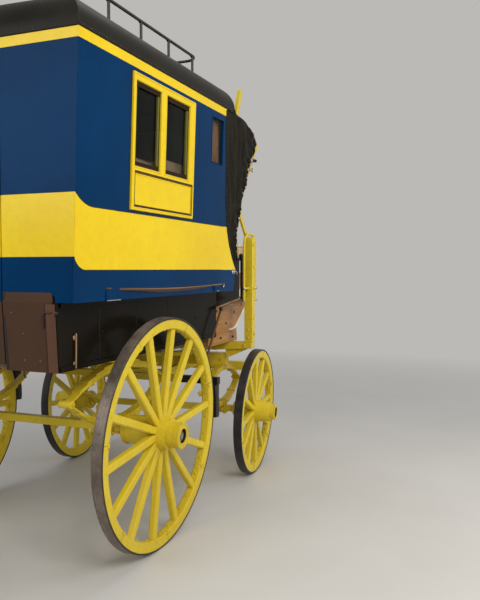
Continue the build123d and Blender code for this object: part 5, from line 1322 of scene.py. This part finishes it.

# Driver's place: the cheeks' pale edge strips (painted highlight), dark hole discs (painted shade) and bolts,
# latches, clips, brake grip, battens

COLLAR = ((13, -10), (14.5, -8), (14.5, 8), (13, 10))
KNOB = ((9.5, -6), (15, -4), (17, 0), (15, 4), (9.5, 8))
CHEEK_EDGE = ((1768, 1279), (1650, 1199), (1545, 1124), (1500, 1098), (1430, 1088), (1380, 1092))
for hand, name in SIDES:
    out = (hand, 0, 0)
    # Pale strip along the cheek's front edge: a painted highlight on that edge
    edge = Solid(f"cheek_edge_highlight_{name}", "pale_edge_highlight", smooth=60)
    route = smooth_line(CHEEK_EDGE, 4)
    edge.tube(mirrored(hand, ((CHEEK_FACE + 1, y, z) for y, z in route)),
              [9] * (len(route) - 4) + [7, 5, 3.5, 2], 8, up=X_AXIS)
    # Dark discs on the cheek: painted shade standing for the insides of its bolt holes
    holes = Solid(f"cheek_hole_shades_{name}", "dark_gap")
    for y, z in ((1334, 1142), (1491, 1214), (1120, 1062), (1120, 1190), (1640, 1268)):
        holes.lathe(((11, -1), (11, 1.4), (8, 1.6)), place(hand * CHEEK_FACE, y, z), out, 20)
    bolts = Solid(f"cheek_bolts_{name}", "iron_black")
    for y, z in ((1230, 1040), (1460, 1030), (1150, 1240), (1400, 1270)):
        bolts.bolt(place(hand * CHEEK_FACE, y, z), out, 8, 5, True)
    latch = Solid(f"side_latch_{name}", "old_nickel", smooth=50)
    x = side_x(1521) + 1
    latch.bar(place(hand * x, 1095, 1521), UPRIGHT, (54, 26, 6), 1.6)
    hasp = ((6, 1085, 1524), (10, 1110, 1526), (9, 1134, 1516), (4, 1142, 1500))
    latch.tube(mirrored(hand, ((x + proud, y, z) for proud, y, z in hasp)), [5, 6, 5, 3], 10)
    latch.lathe(((9, 0), (11, 5), (8, 10), (1, 12)), place(hand * (x + 3), 1082, 1523), out, 16)
    for y in (WHEELBASE - 115, WHEELBASE + 115):
        latch.lathe(COLLAR, place(hand * POST_X, y, 1400), Z_AXIS, 20)
        latch.lathe(KNOB, place(hand * POST_X, y, 1306), Z_AXIS, 16)
    bands = Solid(f"post_bands_{name}", "gear_yellow")
    for z in (1180, 1560):
        bands.bar(place(hand * POST_X, WHEELBASE, z), ACROSS, (63, 63, 26), 1.5)
        bands.bolt(place(hand * POST_FACE, WHEELBASE, z), out, 7, 5)

grip = Solid("brake_lever_grip", "grip_wood", smooth=60)
lever = [place(700, y, 1266 + (y - 1008) * 56 / 520) for y in (1012, 1100, 1200, 1300, 1400, 1480, 1534)]
grip.tube(lever, [12, 14, 15.5, 15, 12.5, 12.5, 12.5], 16)
knob = Solid("brake_fittings", "iron_black", smooth=50)
knob.lathe(((11, -6), (12, 0), (19, 12), (22, 24), (18, 36), (6, 42)), place(700, 1397, 1614), Z_AXIS, 24)
knob.lathe(((15, -9), (15, 9), (12, 10)), place(700, 1008, 1266), X_AXIS, 18)
knob.lathe(((13, -8), (14, 0), (13, 8)), place(700, 685, 862), (0, 0.48, 0.88), 18)

plank_gaps = Solid("platform_gaps", "dark_gap")
cleats = Solid("toe_board_cleats", "floor_wood")
driver_bolts = Solid("driver_bolts", "iron_black")
for y in (1120, 1223, 1326, 1429):
    plank_gaps.bar(place(0, y, 1095.2), ACROSS, (1140, 3, 1.4), 0.3)
for x in (-560, -280, 0, 280, 560):
    for z in (1480, 1370):
        driver_bolts.bolt(place(x, 1601, z), (0, 1, 0), 7, 4)
toe_slope = Vector((0, 2150 - 1532, 1485 - 1070)).normalized()
toe_up = X_AXIS.cross(toe_slope)
toe_axes = (X_AXIS, toe_slope, toe_up)
for x in (-330, 0, 330):
    middle = place(x, 1841, 1304) + toe_up * 0.009
    cleats.bar(middle, toe_axes, (44, 620, 14), 2)
    for share in (-0.4, -0.1, 0.2, 0.42):
        driver_bolts.bolt(middle + toe_slope * 0.62 * share + toe_up * 0.007, toe_up, 7, 4)
for t in (-0.3, 0.0, 0.3):
    plank_gaps.bar(place(0, 1841, 1304) + toe_slope * 0.7 * t + toe_up * 0.0012, toe_axes, (896, 3, 1.6), 0.3)

# Rear step: ribbed treads and bolts

ribs = Solid("rear_step_ribs", "iron_black")
for y, z in ((-930, 840), (-1030, 590)):
    for k in range(7):
        ribs.bar(place(0, y + 20 + k * 22, z + 22.6), ACROSS, (452, 9, 3), 1)
    for hand in (1, -1):
        for along in (35, 135):
            ribs.bolt(place(hand * 250, y + along, z + 11), (hand, 0, 0), 8, 6, True)

# Brake blocks: shoe faces with bolts

BLOCK_X = 787
AXLE_Z = REAR_WHEEL["radius"] * cos(CAMBER)


def off_wheel(x, r, angle):
    """Point about the rear axle, outside the tyre."""
    return place(x, r * cos(angle), AXLE_Z + r * sin(angle))


for hand, name in SIDES:
    turns = [radians(-3 + 16 * k / 12) for k in range(13)]
    section = ((-34.5, 666), (-34.5, 697.6), (34.5, 697.6), (34.5, 666))
    block = Solid(f"brake_block_{name}", "iron_black")
    block.rings([[off_wheel(hand * (BLOCK_X + a), r, turn) for a, r in section] for turn in turns])
    bolts = Solid(f"brake_block_bolts_{name}", "iron_black")
    for turn in (radians(1), radians(9)):
        bolts.bolt(off_wheel(hand * BLOCK_X, 697, turn), (0, cos(turn), sin(turn)), 9, 6, True)

# All that is gathered but not yet made

for solid in list(unmade):
    solid.object()

# Studio


def area(name, spot, aim, size, power, colour=(1, 1, 1)):
    """Soft square lamp looking at a point."""
    data = bpy.data.lights.new(name, "AREA")
    data.shape = "RECTANGLE"
    data.size, data.size_y = size
    data.energy = power
    data.color = colour
    lamp = bpy.data.objects.new(name, data)
    lamp.location = spot
    lamp.visible_camera = False
    lamp.rotation_mode = "QUATERNION"
    lamp.rotation_quaternion = (Vector(aim) - Vector(spot)).to_track_quat("-Z", "Y")
    bpy.context.scene.collection.objects.link(lamp)


area("key", (4.6, -4.2, 4.6), (0, -0.4, 1.2), (2.4, 2.4), 205, (1, 0.95, 0.86))
area("fill", (5.6, 1.2, 2.6), (0.4, 0.0, 1.2), (3.0, 3.0), 105, (1, 0.97, 0.92))
area("rear", (-2.6, -6.0, 3.6), (-0.2, -1.0, 1.4), (3.0, 3.0), 110, (0.96, 0.98, 1))
area("top", (0.5, 0.5, 6.5), (0, 0, 0), (5, 5), 90)

BACKDROP = (0.50, 0.49, 0.47, 1)
AMBIENT = (0.34, 0.34, 0.35, 1)
FLOOR_HALF = 40

floor_finish = Finish("studio_floor", (0.58, 0.57, 0.55))
floor_finish.lay((0.62, 0.61, 0.59), floor_finish.noise(1.1, 3), 0.3, 0.7)
floor_finish.bump(floor_finish.noise(60, 3), 0.03, 0.001)
floor_finish.set(rough=0.6, specular=0.2)
floor_mesh = bpy.data.meshes.new("studio_floor")
floor_mesh.from_pydata([(x * FLOOR_HALF, y * FLOOR_HALF, 0) for x, y in CORNERS], [], [(0, 1, 2, 3)])
floor_mesh.materials.append(floor_finish.material)
studio_floor = bpy.data.objects.new("studio_floor", floor_mesh)
bpy.context.scene.collection.objects.link(studio_floor)


def seen_directly(tree):
    """One for camera, glossy and transmission rays, nought for the rays that carry light."""
    path = tree.nodes.new("ShaderNodeLightPath")
    total = path.outputs["Is Camera Ray"]
    for other in ("Is Glossy Ray", "Is Transmission Ray"):
        either = tree.nodes.new("ShaderNodeMath")
        either.operation = "MAXIMUM"
        tree.links.new(total, either.inputs[0])
        tree.links.new(path.outputs[other], either.inputs[1])
        total = either.outputs[0]
    return total


world = bpy.data.worlds.new("studio")
bpy.context.scene.world = world
world.use_nodes = True
sky = world.node_tree
shade = sky.nodes.new("ShaderNodeMix")
shade.data_type = "RGBA"
shade.inputs[6].default_value = AMBIENT
shade.inputs[7].default_value = BACKDROP
sky.links.new(seen_directly(sky), shade.inputs[0])
sky.links.new(shade.outputs[2], sky.nodes["Background"].inputs["Color"])

far = floor_finish.add("ShaderNodeVectorMath", {0: floor_finish.where}, operation="LENGTH").outputs["Value"]
fade = floor_finish.times(floor_finish.remap(far, 3.0, 8.5), seen_directly(floor_finish.tree))
glow = floor_finish.add("ShaderNodeEmission", {"Color": BACKDROP})
blend = floor_finish.add("ShaderNodeMixShader", {0: fade})
links = floor_finish.tree.links
links.new(floor_finish.shader.outputs[0], blend.inputs[1])
links.new(glow.outputs[0], blend.inputs[2])
links.new(blend.outputs[0], floor_finish.tree.nodes["Material Output"].inputs["Surface"])

scene = bpy.context.scene
scene.view_settings.view_transform = "Standard"

YAW, PITCH, ROLL = 0.3782, -0.0463, 0.0004
ahead = Vector((-sin(YAW) * cos(PITCH), cos(YAW) * cos(PITCH), sin(PITCH)))
level = Vector((cos(YAW), sin(YAW), 0))
raised = level.cross(ahead)
right_hand = level * cos(ROLL) + raised * sin(ROLL)
upward = raised * cos(ROLL) - level * sin(ROLL)
lens = bpy.data.cameras.new("camera")
lens.lens = 40.27
lens.sensor_width = 36
camera = bpy.data.objects.new("camera", lens)
turned = Matrix((right_hand, upward, -ahead)).transposed().to_4x4()
camera.matrix_world = Matrix.Translation((2.5304, -3.8041, 1.5431)) @ turned
scene.collection.objects.link(camera)
scene.camera = camera
